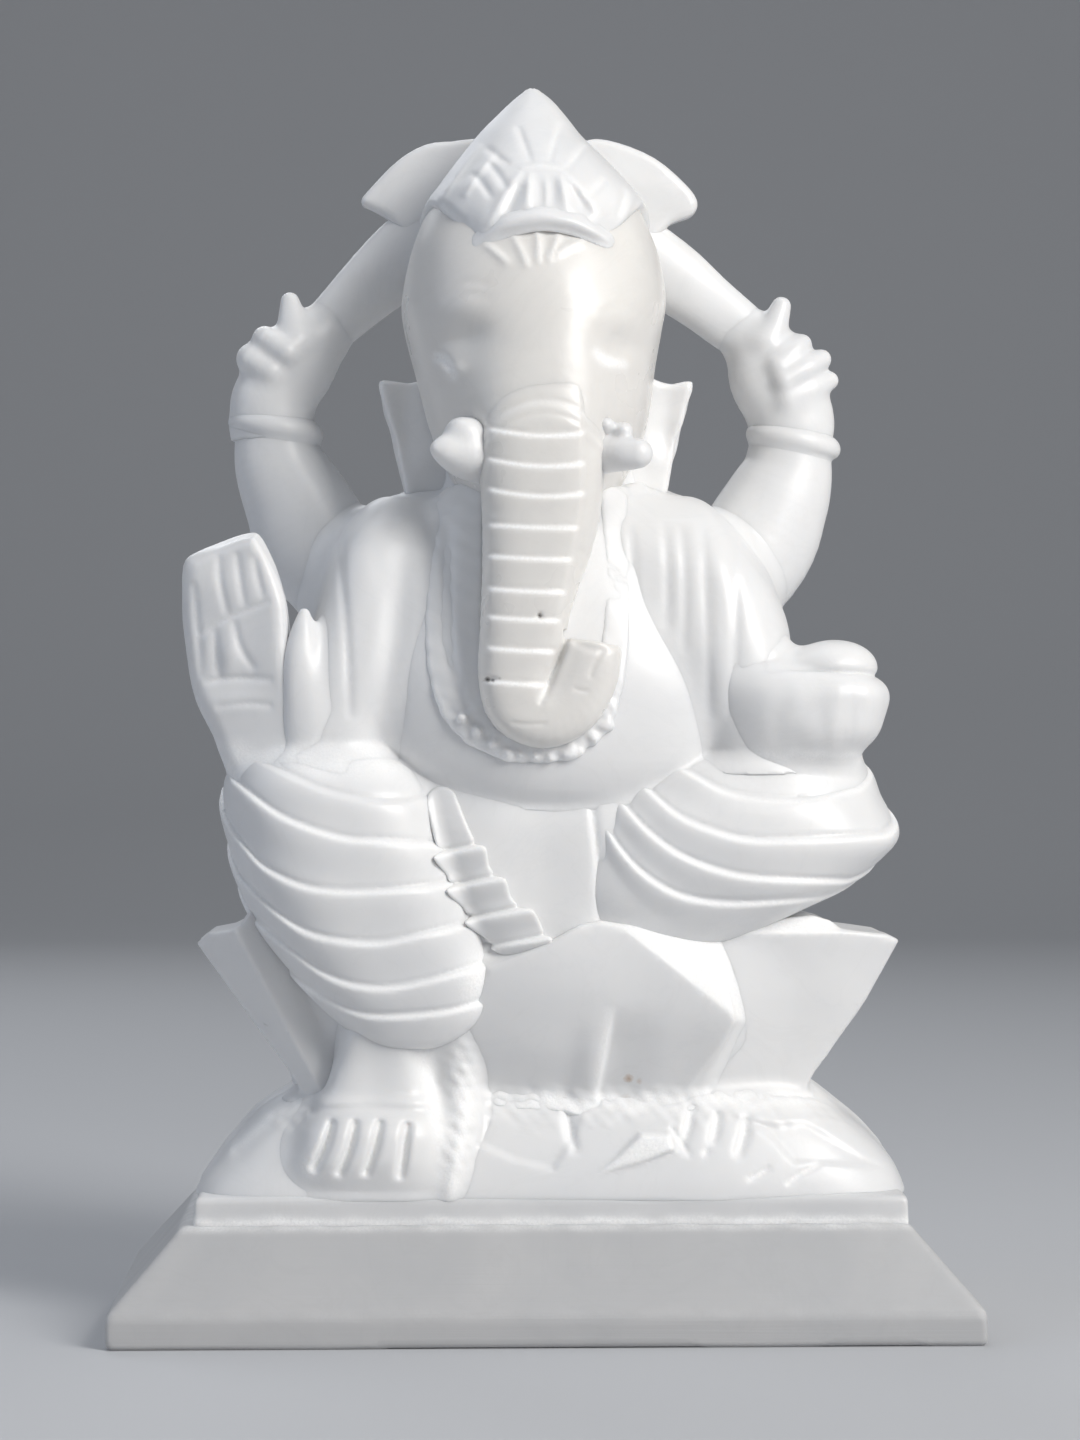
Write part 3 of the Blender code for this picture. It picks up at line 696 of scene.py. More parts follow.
def make_base():
    carve("form_plinth", plinth, (-107, -59, -1), (107, 59, 29), 1.0, plinth_raw_and_highlight, "sawn", 0.0)
    carve("form_plinth_step", step, (-88, -46, 25), (91, 46, 36), 0.7, step_crushed, "dressed", 0.0)
    carve("form_lotus_base", lotus_base, (-90, -47, 32), (94, 47, 64), 0.6, lotus_base_raw_and_highlight)
    carve("form_lotus_seat", lotus_seat, (-66, -38, 55), (70, 43, 99), 1.2)
    front = "form_lotus_petal_front"
    carve(front, petal_front, (-20, -49, 52), (49, -8, 103), 0.55, petal_front_raw_and_highlight, "stained")
    carve(front + "_left", petal_corner_left, (40, -43, 54), (90, 8, 104), 0.6, petal_corner_left_raw_and_highlight)
    carve(front + "_right", petal_corner_right, (-88, -41, 54), (-42, 8, 107), 0.6)
    for number, degrees in enumerate((12, 50, 90, 130, 168)):
        angle = math.radians(degrees)
        x, y = 2 + 64 * math.cos(angle), 2 + 40 * math.sin(angle)
        carve(f"form_lotus_petal_{number + 1}", lambda p, a=angle: outer_petal(p, a),
              (x - 24, y - 24, 57), (x + 24, y + 24, 98.5), 0.7)


# ---------------------------------------------------------------- legs and cloth

FOLD_HEIGHT = 1.05
RIGHT_FOLDS = (
    ((-66, 139), (-55, 134), (-45, 131.5), (-35, 131), (-26, 133)),
    ((-72, 133), (-65, 128), (-57, 124.5), (-48, 122), (-40, 121.5), (-28, 120.5)),
    ((-73, 120), (-68, 115), (-60, 111), (-52, 109.5), (-40, 109.5), (-23, 111)),
    ((-71, 109), (-65, 104), (-58, 99.5), (-50, 97.5), (-40, 97), (-30, 99), (-20, 101)),
    ((-62, 95), (-55, 90), (-48, 87), (-40, 86), (-32, 87), (-20, 90)),
    ((-55, 84), (-48, 80.5), (-40, 79), (-25, 80), (-16, 82)),
)
LEFT_FOLDS = (
    ((36, 137), (45, 132.5), (60, 131), (75, 133.5)),
    ((26, 132.5), (31, 128), (38, 124.5), (48, 121.7), (60, 121.5), (80, 122.3)),
    ((18, 131), (24, 124), (32, 118), (42, 114), (52, 112.2), (75, 111)),
    ((12, 131), (16, 122), (22, 114.5), (29, 109.5), (36, 107), (46, 106), (60, 106.5)),
)


def right_leg_body(p):
    return stack(p, (
        (70, -42, -24, -42, -20), (76, -50, -16, -45, -16), (83, -57, -12.5, -47.5, -10),
        (90, -63, -12, -49, -6), (100, -70.5, -15, -50.5, 2), (110, -75, -18, -51.3, 10),
        (120, -77.5, -21, -51.3, 16), (130, -79, -23, -49.5, 20), (136, -78, -26, -47, 20),
        (141, -74, -32, -43, 18), (145, -67, -40, -38, 14),
    ), roundness=2.7, soft=4.0)


def cloth_folds(p, form, lines, rise, run, first_height):
    """The form with a fold of cloth below each line. The first fold is lower than the rest."""
    for number, line in enumerate(lines):
        height = FOLD_HEIGHT if number else first_height
        form = form - ledge(line_height(p, line) - p[2], rise, run, height)
    return form


def folds_highlight(p, lines, strength, seed):
    # a painted highlight just below each fold line, where the fold steps out and catches the light
    cut = 0.0
    for line in lines:
        below = line_height(p, line) - p[2]
        cut = np.maximum(cut, strength * bell(below - 0.8, 0.7) * uneven(p, 0.75, 5.0, seed))
    return cut


def right_leg(p):
    form = cloth_folds(p, right_leg_body(p), RIGHT_FOLDS, 1.5, 11.0, 0.9)
    hollow = stroke(p, ((-60, 146), (-48, 137), (-34, 136)), 3.5, 0.7)
    return form + hollow * in_front(p, -34) + 0.25 * wobble(p, 9.0, 6.0)


def right_leg_raw_and_highlight(p):
    # painted highlights along the fold lines; the rough end and the top of the leg are raw stone
    rough_end = near(p, -16, 86, 4.5, 8)
    top = 0.7 * ramp(p[2], 133, 139) * ramp(p[0], -68, -60) * uneven(p, 0.7, 2.5, 3.0)
    return most(folds_highlight(p, RIGHT_FOLDS[1:], 0.85, 1.0), rough_end, top) * in_front(p, -8)


def left_leg_body(p):
    return stack(p, (
        (94, 16, 46, -38, -12), (98, 8, 53, -42, -6), (103, 3, 63, -44.5, 0),
        (108, 0, 73, -46.3, 6), (114, 0, 82, -47.5, 12), (120, 1, 87.5, -47.7, 16),
        (126, 3, 86.8, -46.7, 19), (132, 8, 84, -44, 20), (138, 20, 81, -41, 19),
        (143, 34, 77, -36, 14),
    ), roundness=2.8, soft=4.0)


def left_leg(p):
    return cloth_folds(p, left_leg_body(p), LEFT_FOLDS, 1.4, 9.0, 0.8) + 0.25 * wobble(p, 9.0, 9.0)


def left_leg_highlight(p):
    # painted highlights along the fold lines
    return folds_highlight(p, LEFT_FOLDS, 0.8, 2.0) * in_front(p, -8)


TOE_SLITS = (
    ((-51.5, 53.5), (-53.5, 47), (-56.5, 41)),
    ((-46, 53.5), (-47.5, 47), (-50.5, 40)),
    ((-40, 53.5), (-41.5, 47), (-44, 40)),
    ((-33.5, 53), (-34.5, 46), (-35.5, 39)),
)


FOOT_WEB = (  # the unfinished stone left between the foot and the front petal
    (-22, -33, 84, 4.5, 5), (-21, -33, 66, 4.2, 4.4), (-20.5, -35, 54, 3.6, 4.4),
    (-22, -37.6, 43, 3.0, 3.6), (-23, -38.4, 37, 1.6, 2.4),
)


def right_foot(p):
    shin = stack(p, (
        (50, -59.5, -24, -43, -16), (56, -56.5, -25.5, -41, -16), (60, -53.8, -27, -40.3, -16),
        (66, -51.7, -29, -40.6, -16), (74, -49.5, -30, -42, -16), (82, -46, -29, -43, -16),
        (90, -44, -28, -43, -16),
    ), roundness=3.4, soft=3.0)
    toes = stack(p, (
        (36, -59.5, -25, -41.8, -20), (39, -61.0, -24.5, -44.6, -18),
        (43, -61.3, -24.5, -46.6, -18), (47.5, -59.8, -25, -46.8, -18),
        (51.5, -57, -26.5, -45.4, -18), (56, -54, -28, -41.5, -20),
    ), roundness=3.0, soft=2.0)
    form = join(shin, toes, 5.0)
    slits = strokes(p, TOE_SLITS, 1.05, 2.8)
    knuckle = stroke(p, ((-58, 54.5), (-44, 56), (-27, 54.8)), 1.3, 0.8)
    facet = stroke(p, ((-41, 84), (-42, 70), (-43, 60)), 7.0, 0.9)
    form = form + (slits + knuckle + facet) * in_front(p, -36, 8.0)
    form = join(form, tube(p, FOOT_WEB), 5.0)
    ground = join(join(lotus_seat_body(p), lotus_base(p), 3.0), petal_front_body(p), 4.0)
    rough = 0.30 * stroke(p, ((-20.5, 74), (-20.5, 56), (-22.5, 40)), 3.5, 1.0)
    rough = rough * (wobble(p, 1.0, 2.0) + wobble(p, 2.9, 4.0))
    return flow(form, ground, 5.0, 7.0) + 0.2 * wobble(p, 5.0, 1.0) + rough


def right_foot_raw_and_highlight(p):
    # the toe slits are painted highlights on the faces of the cuts that catch the light; the edge and the web
    # are raw stone
    cut = strokes(p, TOE_SLITS, 0.95, 1.0) * in_front(p, -36)
    edge = stroke(p, ((-31.5, 76), (-28.5, 64), (-26.5, 54), (-24, 42)), 2.4, 0.75)
    web = stroke(p, ((-20, 72), (-20.5, 56), (-22.5, 44), (-24, 34)), 3.2, 1.0)
    return most(cut, 0.9 * near(p, -57, 42, 3, 3), edge, web) * in_front(p, -24)


WAIST_EDGE = ((11, 131), (12.5, 116), (13, 101))


def waist_cloth_body(p):
    return stack(p, (
        (88, -12, 13, -38, -8), (96, -17, 16, -42, -8), (106, -23, 21, -44, -8),
        (116, -27, 26, -44.5, -8), (126, -32, 32, -43.5, -8), (136, -36, 36, -40, -8),
        (142, -36, 36, -36, -8),
    ), roundness=3.4)


def waist_cloth(p):
    hollow = 1.2 * near(p, -1, 115, 9, 12)
    form = waist_cloth_body(p) + (hollow + stroke(p, WAIST_EDGE, 0.9, 0.9)) * in_front(p, -36)
    return flow(form, right_leg_body(p), 4.0, 5.0) + 0.15 * wobble(p, 7.0, 4.0)


def waist_cloth_crushed(p):
    return stroke(p, WAIST_EDGE, 1.0, 0.7) * in_front(p, -34)


SASH_PATH = ((-25.3, 130, 3.9), (-22, 120, 4.6), (-17.5, 110.5, 5.4), (-12, 102.5, 5.7), (-6, 96.5, 6.0))
SASH_STEPS = (118.5, 111.8, 105, 98.8)


def sash_step(p, height):
    return height + 0.20 * (p[0] + 24 - 1.45 * (118.5 - height)) - p[2]


def waist_sash(p):
    ground = join(waist_cloth_body(p), right_leg_body(p) + 0.6, 3.0)
    form = relief(p, SASH_PATH, ground, 1.5, 1.0)
    for height in SASH_STEPS:
        form = form - ledge(sash_step(p, height), 1.0, 6.4, 1.5) * ramp(p[2], 92, 97)
    return form


def waist_sash_highlight(p):
    # a painted highlight just below each pleat line, where the pleat steps out and catches the light
    return most(*(0.85 * bell(sash_step(p, height) - 0.6, 0.9) for height in SASH_STEPS))


def make_legs():
    carve("form_right_leg", right_leg, (-82, -54, 68), (-8, 22, 147), 0.55, right_leg_raw_and_highlight)
    carve("form_left_leg", left_leg, (-1, -50, 92), (91, 22, 145), 0.55, left_leg_highlight)
    carve("form_right_foot", right_foot, (-70, -53, 30), (-11, -14, 91), 0.5, right_foot_raw_and_highlight)
    carve("form_waist_cloth", waist_cloth, (-37, -48, 87), (37, -6, 143), 0.7, waist_cloth_crushed)
    carve("form_waist_sash", waist_sash, (-33, -52, 88), (3, -31, 136), 0.4, waist_sash_highlight)


# ---------------------------------------------------------------- body

def torso_body(p):
    return stack(p, (
        (97, -54, 56, -6, 37), (104, -58, 60, -6, 41), (118, -61, 62, -6, 43.5),
        (140, -60, 61, -12, 44), (160, -58, 59, -26, 42), (180, -55, 56, -27, 37),
        (192, -51, 51, -24, 31), (200, -45, 44.5, -19, 26), (207, -33, 32.5, -16, 23),
        (214, -24, 23, -14, 21),
    ), roundness=2.6, soft=5.0)


def torso(p):
    x, y, z = p
    back = ramp(y, 5, 15)
    spine = 1.6 * bell(x, 4.5) * ramp(y, 15, 25) * ramp(z, 118, 135) * (1 - ramp(z, 190, 205))
    waist = ledge(117 + 0.0012 * x * x - z, 1.6, 9.0, 1.2) * back
    shawl = ledge(z - 150 + 0.012 * x * x, 1.6, 14.0, 0.9) * back
    form = torso_body(p) + spine - waist - shawl
    return flow(form, head_body(p), 6.0, 5.0) + 0.35 * wobble(p, 13.0, 4.0)


def belly_body(p):
    return stack(p, (
        (126.5, -8, 16, -36, -8), (129, -18, 26, -41.5, -4), (133, -28, 33, -45.5, 0),
        (140, -38, 41, -48, 0), (150, -43, 45, -48.5, 0), (162, -44, 45, -47.8, 0),
        (175, -41, 41, -45, 0), (188, -36, 36, -41, 0), (200, -30, 30, -36, 0),
        (208, -24, 24, -32, 0),
    ), roundness=2.25, soft=2.0)


def belly(p):
    collar = stroke(p, ((-15, 204), (-26, 198), (-34, 196)), 4.0, 0.8)
    collar = collar + stroke(p, ((14, 206), (24, 200), (30, 199)), 3.0, 0.8)
    form = belly_body(p) + collar * in_front(p, -20)
    legs = join(right_leg_body(p), join(left_leg_body(p), waist_cloth_body(p), 3.0), 3.0)
    return flow(form, legs, 2.5, 4.0) + 0.3 * wobble(p, 12.0, 7.0)


def belly_crushed(p):
    lower = stroke(p, ((-40, 141), (-25, 132.5), (0, 128), (20, 129.5), (38, 142)), 1.2, 0.45)
    return lower * in_front(p, -20) * uneven(p, 0.7, 3.0, 2.0)


def shawl_right_body(p):
    return stack(p, (
        (140, -66, -40, -38, 0), (147, -65.5, -38, -41, 2), (158, -62.5, -35, -41.5, 5),
        (172, -57.5, -32, -40, 7), (185, -54, -29, -37.5, 9), (194, -51, -28, -34.5, 9),
        (200, -47, -28, -30.5, 8), (205.5, -42, -31, -23, 4),
    ), roundness=2.6)


def shawl_left_body(p):
    return stack(p, (
        (140, 42, 61, -38, 0), (147, 40, 61, -41, 2), (158, 35, 62, -42.5, 5),
        (172, 26, 61, -42.0, 7), (185, 20, 57, -40, 9), (194, 15, 51, -36, 9),
        (200, 18, 46, -31.5, 8), (205.5, 24, 40, -23, 4),
    ), roundness=2.6)


RIGHT_SHAWL_FOLDS = (
    ((-50.6, 198), (-49.6, 186), (-48.2, 170), (-47.4, 150)),
    ((-37, 199), (-37, 186), (-36, 170), (-38, 152)),
)


def shawl(p, body, leg, side):
    """One side of the shawl, running out over the chest, the leg and the raised arm."""
    ground = join(join(belly_body(p), torso_body(p), 3.0), leg, 3.0)
    return flow(flow(body, ground, 9.0, 11.0), raised_arm_body(p, side), 8.0, 8.0)


def shawl_right(p):
    form = shawl(p, shawl_right_body(p), right_leg_body(p), -1)
    folds = stroke(p, RIGHT_SHAWL_FOLDS[0], 1.1, 0.7) + stroke(p, RIGHT_SHAWL_FOLDS[1], 4.0, 0.4)
    ridge = stroke(p, ((-43.5, 198), (-42.5, 184), (-41.5, 168), (-43, 150)), 4.0, 0.2)
    edge = stroke(p, ((-31, 198), (-31.5, 184), (-33, 168), (-38, 152)), 2.5, 0.4)
    return form + (folds - ridge - edge) * in_front(p, -12, 8) + 0.2 * wobble(p, 8.0, 2.0)


def shawl_right_crushed(p):
    return 0.7 * (1 - ramp(p[2], 142, 148)) * in_front(p, -25) * uneven(p, 0.7, 2.5, 3.0)


LEFT_SHAWL_FOLDS = (
    ((29.3, 199), (29.8, 186), (29.5, 172)),
    ((33.5, 198), (34, 182), (33.5, 166)),
    ((38.8, 199), (39.2, 178), (39.8, 150)),
    ((46, 196), (46.3, 172), (45, 150)),
    ((17, 198), (17.5, 184), (17.5, 170)),
    ((21, 198), (21.5, 184), (21.5, 172)),
)


def shawl_left(p):
    form = shawl(p, shawl_left_body(p), left_leg_body(p), 1)
    folds = strokes(p, LEFT_SHAWL_FOLDS, 1.3, 0.42)
    ridge = stroke(p, ((42.5, 198), (42.8, 176), (42.3, 150)), 2.6, 0.3)
    seam = stroke(p, ((41, 203), (51, 190), (62, 175)), 1.2, 0.4)
    return form + (folds + seam - ridge) * in_front(p, -12, 8) + 0.2 * wobble(p, 8.0, 3.0)


GARLAND_PATH = (
    (-21.5, 206, 6.6), (-22, 188, 7.0), (-22.4, 168, 7.0), (-19.2, 154, 6.6), (-11.4, 147, 6.0),
    (0, 143.8, 4.2), (8.5, 147, 3.8), (14, 155, 3.6), (16.5, 168, 3.6), (17.5, 184, 3.6), (17, 204, 3.6),
)
GARLAND_BEADS = (  # x, z and radius
    (-20.5, 150.5, 1.1), (-16.8, 147.0, 1.3), (-13.0, 144.4, 1.0), (-9.4, 141.8, 1.5),
    (-6.6, 141.6, 0.9), (-3.0, 141.0, 0.8), (0.6, 140.9, 0.9), (5.2, 142.3, 1.9),
    (8.0, 142.6, 0.8), (11.0, 145.4, 1.4), (14.2, 148.8, 1.8), (19.6, 153.4, 1.3),
)


def garland(p):
    x, _, z = p
    faint = 1 - 0.4 * ramp(x, 4, 14) * ramp(z, 150, 160)
    form = relief(p, GARLAND_PATH, belly_body(p), (0.35 + 0.9 * (1 - ramp(z, 150, 178))) * faint, 1.2)
    for bead_x, bead_z, size in GARLAND_BEADS:
        bead = ball(p, (bead_x, -48.4, bead_z), (size * 1.15, 2.0, size), turn=37 * bead_x)
        form = join(form, bead, 0.9)
    hatch = 0.12 * (0.5 + 0.5 * np.sin((z + 0.6 * x) * 1.15)) * ramp(z, 150, 158) * (1 - ramp(x, 0, 6))
    channel = stroke(p, ((-23.5, 200), (-24, 180), (-23.5, 165), (-19, 152)), 1.6, 0.7)
    form = form + (hatch + channel) * in_front(p, -30)
    return form + (0.30 - 0.26 * ramp(z, 150, 162)) * (wobble(p, 2.2, 5.0) + 0.6 * wobble(p, 0.9, 2.0))


def garland_crushed(p):
    lower = 0.85 * (1 - ramp(p[2], 142, 150)) * uneven(p, 0.6, 1.6, 2.0)
    return most(lower, stroke(p, ((-29, 166), (-27.5, 157), (-22, 147)), 1.0, 0.8))


def make_body():
    carve("form_torso", torso, (-64, -34, 95), (65, 47, 217), 0.85)
    carve("form_belly", belly, (-47, -51, 124), (48, 2, 210), 0.7, belly_crushed)
    carve("form_shawl_right", shawl_right, (-76, -50, 138), (-24, 16, 208), 0.6, shawl_right_crushed)
    carve("form_shawl_left", shawl_left, (10, -50, 138), (72, 16, 208), 0.6)
    carve("form_garland", garland, (-31, -53, 135), (26, -24, 208), 0.45, garland_crushed)


# ---------------------------------------------------------------- head

def head_body(p):
    return stack(p, (
        (200, -17, 15, -34, 10), (207, -21, 19, -39, 13), (214, -24.5, 23, -43.5, 16),
        (221, -27.5, 25.5, -47, 18), (229, -30, 27, -49.5, 20), (237, -32, 28, -50.8, 21),
        (246, -34.2, 29.6, -51.3, 22), (254, -35, 30.7, -50.5, 22),
        (264, -33.3, 29.3, -47.5, 21), (273, -30, 26.3, -42.5, 18), (280, -26, 22.8, -36, 14),
        (286, -18, 15.5, -26, 9),
    ), roundness=2.25, soft=4.0)


FAN = (
    ((-2.5, 269), (-2, 265), (-2.2, 259.5)),
    ((-8.5, 267.5), (-6.2, 263), (-4.8, 259)),
    ((-15.5, 265.5), (-11.5, 262), (-9.5, 260)),
    ((3.2, 268), (1.8, 264), (0.2, 260.5)),
    ((9.5, 266), (5, 264), (1.5, 261.5)),
)
EYE_CUTS = (
    ((-26.8, 238.4), (-24.2, 237.0), (-22.0, 232.4)),
    ((11.4, 239.0), (14.4, 236.6), (19.6, 236.2)),
)


BROW_ARCS = (
    ((-26, 247), (-20, 252.5), (-13, 251)),
    ((-25, 251), (-20, 255.5), (-14, 254.5)),
    ((13, 247.5), (18, 250.5), (23, 248.5)),
)
TEMPLES = (((-31, 262), (-29, 252), (-28, 240)), ((27, 262), (25, 252), (24, 240)))


def head(p):
    form = head_body(p)
    front = in_front(p, -22, 8.0)
    brows = near(p, -19, 249, 8, 5) + near(p, 16.5, 248, 7, 5)
    sockets = near(p, -19.5, 242.5, 6, 4) + near(p, 17, 241, 6, 4)
    lids = near(p, -22.5, 234.5, 3.2, 2.0) + near(p, 17, 236.5, 3.4, 1.6)
    cheeks = near(p, -20, 224, 7, 7) + near(p, 19, 224, 6, 7)
    root = 1.6 * near(p, -0.5, 228, 15, 13)
    fan = strokes(p, FAN, 0.95, 0.75)
    arcs = strokes(p, BROW_ARCS, 1.2, 0.18)
    temple = strokes(p, TEMPLES, 5.0, 0.5)
    form = form - front * (0.5 * brows + 0.9 * lids + 1.0 * cheeks + root + fan)
    form = form + front * (1.6 * sockets + strokes(p, EYE_CUTS, 1.0, 0.8) + arcs + temple)
    form = join(form, trunk_body(p) + 0.8, 8.0)
    return form + 0.3 * wobble(p, 10.0, 5.0)


def head_crushed(p):
    return strokes(p, EYE_CUTS, 1.3, 1.0) + strokes(p, FAN, 0.8, 0.35)


TRUNK_PATH = (
    (-1, -36, 250, 11, 11), (-1, -39, 238, 13, 12.2), (-1, -43, 226, 14.6, 12.0),
    (-1, -45.5, 212, 15.2, 11.2), (-1.4, -47, 198, 14.2, 10.0), (-3.6, -48, 184, 12.1, 9.2),
    (-6.0, -48.8, 170, 10.3, 8.5), (-7.6, -49.2, 161, 9.0, 8.1), (-6.4, -49.6, 154, 8.4, 7.6),
    (-0.6, -49.8, 150.8, 7.6, 7.3), (5.4, -49.8, 153.6, 7.6, 7.0),
    (9.0, -49.6, 160.0, 7.8, 6.6), (10.3, -49.4, 166, 7.6, 6.2),
)
TRUNK_FOLD = ((-0.5, -48, 154, 3.4, 7.8), (2.4, -48, 161, 3.4, 7.4), (4.6, -48, 168, 3.2, 7.0))
TRUNK_RINGS = (218.3, 211, 203.8, 196.3, 188.8, 181, 174.2, 166.8, 158.8)


def trunk_body(p):
    form = join(tube(p, TRUNK_PATH, steps=4, square=2.7), tube(p, TRUNK_FOLD, steps=2), 1.5)
    above_tip = p[2] + 0.16 * p[0] - 170.7
    elsewhere = ramp(p[2], 171.5, 176) + 1 - ramp(p[0], 0, 4)
    return common(form, above_tip - 200 * elsewhere, 1.2)


def trunk_ring(p, height):
    x = p[0]
    return height + 0.010 * (x + 2) ** 2 * (1 if height > 200 else 0.3) - 0.03 * (x + 3) - p[2]


def trunk_panel(p):
    """1 on the flat front of the trunk, 0 on its two sides."""
    x, _, z = p
    right_edge = 8.6 - 0.20 * np.maximum(203 - z, 0)
    return ramp(x, -15.4, -13.4) * (1 - ramp(x, right_edge - 1.0, right_edge + 1.0))


def trunk_arch(p):
    return 226.5 - 0.032 * (p[0] + 0.8) ** 2 - p[2]


TRUNK_CREASE = ((-2.2, 153.5), (0.2, 159), (2.4, 164), (5.0, 170.5))
TIP_LINES = (  # points, width and depth
    (((6, 169), (11, 167), (16.5, 167.5)), 1.0, 0.5),
    (((-9, 149.4), (-5, 149), (0, 149.2)), 0.5, 0.35),
    (((6, 157.5), (8, 157), (10, 157)), 0.5, 0.3),
    (((13.5, 167), (11, 163), (10, 160)), 0.7, 0.4),
)


def trunk(p):
    x, _, z = p
    form = trunk_body(p)
    panel = trunk_panel(p)
    for height in TRUNK_RINGS:
        form = form - ledge(trunk_ring(p, height), 0.9, 6.5, 0.55) * in_front(p, -46, 5.0) * panel
    arches = ledge(trunk_arch(p), 2.0, 7.0, 0.30) + ledge(trunk_arch(p) - 3.4, 1.2, 4.0, 0.30)
    form = form - arches * in_front(p, -40, 6.0)
    cuts = 0.8 * (1 - panel) * ramp(x, 0, 4) * ramp(z, 168, 176) + stroke(p, TRUNK_CREASE, 0.8, 1.0)
    for points, width, depth in TIP_LINES:
        cuts = cuts + stroke(p, points, width, depth)
    pits = 1.3 * near(p, -2.1, 174.9, 0.6, 0.6) + 1.1 * near(p, -14.0, 159.6, 1.3, 0.5)
    return form + cuts * in_front(p, -47, 4.0) + pits * in_front(p, -50, 3.0)


def trunk_ledge_highlight_and_crease(p):
    # the rings and the arch are painted highlights on ledges that face up into the light; the crease gets a
    # white line
    rings = most(*(bell(trunk_ring(p, height) - 0.45, 0.6) for height in TRUNK_RINGS)) * trunk_panel(p)
    arch = 0.3 * bell(trunk_arch(p) - 0.6, 0.8) * ramp(p[0], -12, -9) * (1 - ramp(p[0], 8, 12))
    crease = stroke(p, ((-2.2, 154), (0.2, 159.5), (2.4, 164)), 0.8, 0.9)
    return most(rings, arch, crease) * in_front(p, -47)


RIGHT_TUSK = (
    (-12, -42, 214, 7, 7), (-18, -45.5, 214.5, 6.8, 6.5), (-23, -48.5, 214.8, 4.4, 4.4),
    (-25.8, -50, 215, 2.2, 2.4),
)
LEFT_TUSK = ((12, -42, 214.5, 4.8, 5.6), (18, -46, 214.2, 4.2, 4.8), (21.8, -48, 214.2, 3.6, 4.0))


def tusk(p, side):
    """Both tusks are short. The left one ends blunt, with two chips of stone left on top of it."""
    if side < 0:
        form = tube(p, RIGHT_TUSK)
        form = join(form, ball(p, (-19.5, -46.5, 219.3), (5.0, 5.0, 3.6), turn=-12), 2.5)
    else:
        form = tube(p, LEFT_TUSK, square=2.3)
        form = join(form, ball(p, (18.5, -46, 219.8), (2.4, 3.0, 2.2)), 2.0)
        form = join(form, ball(p, (14.2, -47, 221.2), (2.2, 2.6, 1.8)), 2.0)
    form = flow(form, head_body(p) - 1.0 * near(p, 19 * side, 224, 7, 7), 4.0, 5.0)
    return form + 0.2 * wobble(p, 3.0, 2.0)


def ear(p, side):
    edge = 37.8 if side > 0 else 40.4
    p = (side * p[0], p[1], p[2])
    outline = (
        (18, 240), (26, 236), (33, 234.6), (edge - 0.6, 235), (edge, 232.5), (edge - 3.3, 219),
        (edge - 6.6, 206), (26, 196), (14, 204),
    )
    hollow = 1.6 * near(p, edge - 6, 223, 3.5, 9) * in_front(p, -6, 3.0)
    return plate(p, outline, -11, 1, edge=1.8, steps=2) + hollow + 0.3 * wobble(p, 3.0, 6.0)


CROWN_CUTS = (
    ((-6.5, 296.5), (-5, 291), (-3.6, 285.5)),
    ((4.4, 298), (2.6, 292), (0.8, 285.5)),
    ((10.2, 292), (7.8, 288), (5.2, 284)),
    ((-14, 290.5), (-11.5, 287.5), (-9, 285.5)),
    ((-13.8, 286), (-11.5, 282.5), (-9.5, 278.5)),
    ((-17.8, 283.5), (-15.5, 280.5), (-13.2, 276.5)),
    ((-25.5, 276.5), (-22.5, 273), (-19.5, 270.5)),
    ((20, 280), (19, 276), (17.5, 272.5)),
    ((23.5, 277.5), (22, 274.5), (20.5, 271)),
    ((14.5, 282), (12, 279), (10, 277)),
)
CROWN_POCKETS = (
    ((-6.2, 279), (-8, 275.5), (-9.5, 271.5)),
    ((-1.6, 281), (-1.4, 278), (-1.6, 274)),
    ((1.4, 281), (1.6, 278), (1.5, 274)),
    ((6.4, 279), (8, 276), (9.6, 273)),
)
CROWN_BARS = (
    ((-5.5, 284), (-10, 277), (-14.2, 269)),
    ((4, 284), (8.8, 278), (13.5, 271.5)),
    ((-6.5, 284), (-1, 284.8), (5, 284)),
    ((-3.8, 283), (-4.2, 279), (-5, 273.5)),
    ((3.6, 282.5), (4.3, 278.5), (5, 273.5)),
    ((-15.5, 292), (-20.5, 285), (-25.5, 277)),
    ((-12, 289), (-16.5, 283), (-20, 277)),
)


def crown_body(p):
    return stack(p, (
        (262, -26, 23, -44, 6), (268, -29, 25.5, -47, 10), (273, -29.6, 26.3, -46.5, 13),
        (279, -28, 24.5, -43.5, 12.5), (283, -25.6, 21.8, -40, 10.5),
        (289, -21.2, 16.4, -34, 7), (295.5, -16.2, 10.0, -27, 3),
        (300, -12.0, 6.6, -21.5, -0.5), (304.5, -7.4, 3.0, -16, -4.5),
        (308, -3.4, -1.2, -11, -9),
    ), roundness=2.1, soft=0.6)


def crown_border(p):
    """Height of the crown's lower border: lowest at both ends of the band, higher at the temples."""
    off = np.abs(p[0] + 1.5)
    shape = 7.5 - 0.024 * np.minimum(off, 15) ** 2 + 1.1 * np.maximum(off - 15, 0)
    return 263 + shape * (1 - ramp(p[1], -24, -2))


def crown(p):
    x, y, z = p
    form = join(crown_body(p), head_body(p) - 0.9, 3.0)
    off = np.abs(x + 1.5)
    form = form + 2.0 * ramp(off, 12.5, 18) * (1 - ramp(z, 267, 277)) * in_front(p, -10, 12)
    front = in_front(p, -16, 8)
    form = form + front * (strokes(p, CROWN_CUTS, 1.0, 0.8) + strokes(p, CROWN_POCKETS, 1.5, 1.0))
    form = form - front * strokes(p, CROWN_BARS, 1.1, 0.7)
    form = form - 0.35 * np.abs(np.sin(np.arctan2(y + 12, x + 2.3) * 6)) * ramp(y, -20, -8)
    return common(form, crown_border(p) - z + 0 * form, 1.2) + 0.15 * wobble(p, 6.0, 3.0)


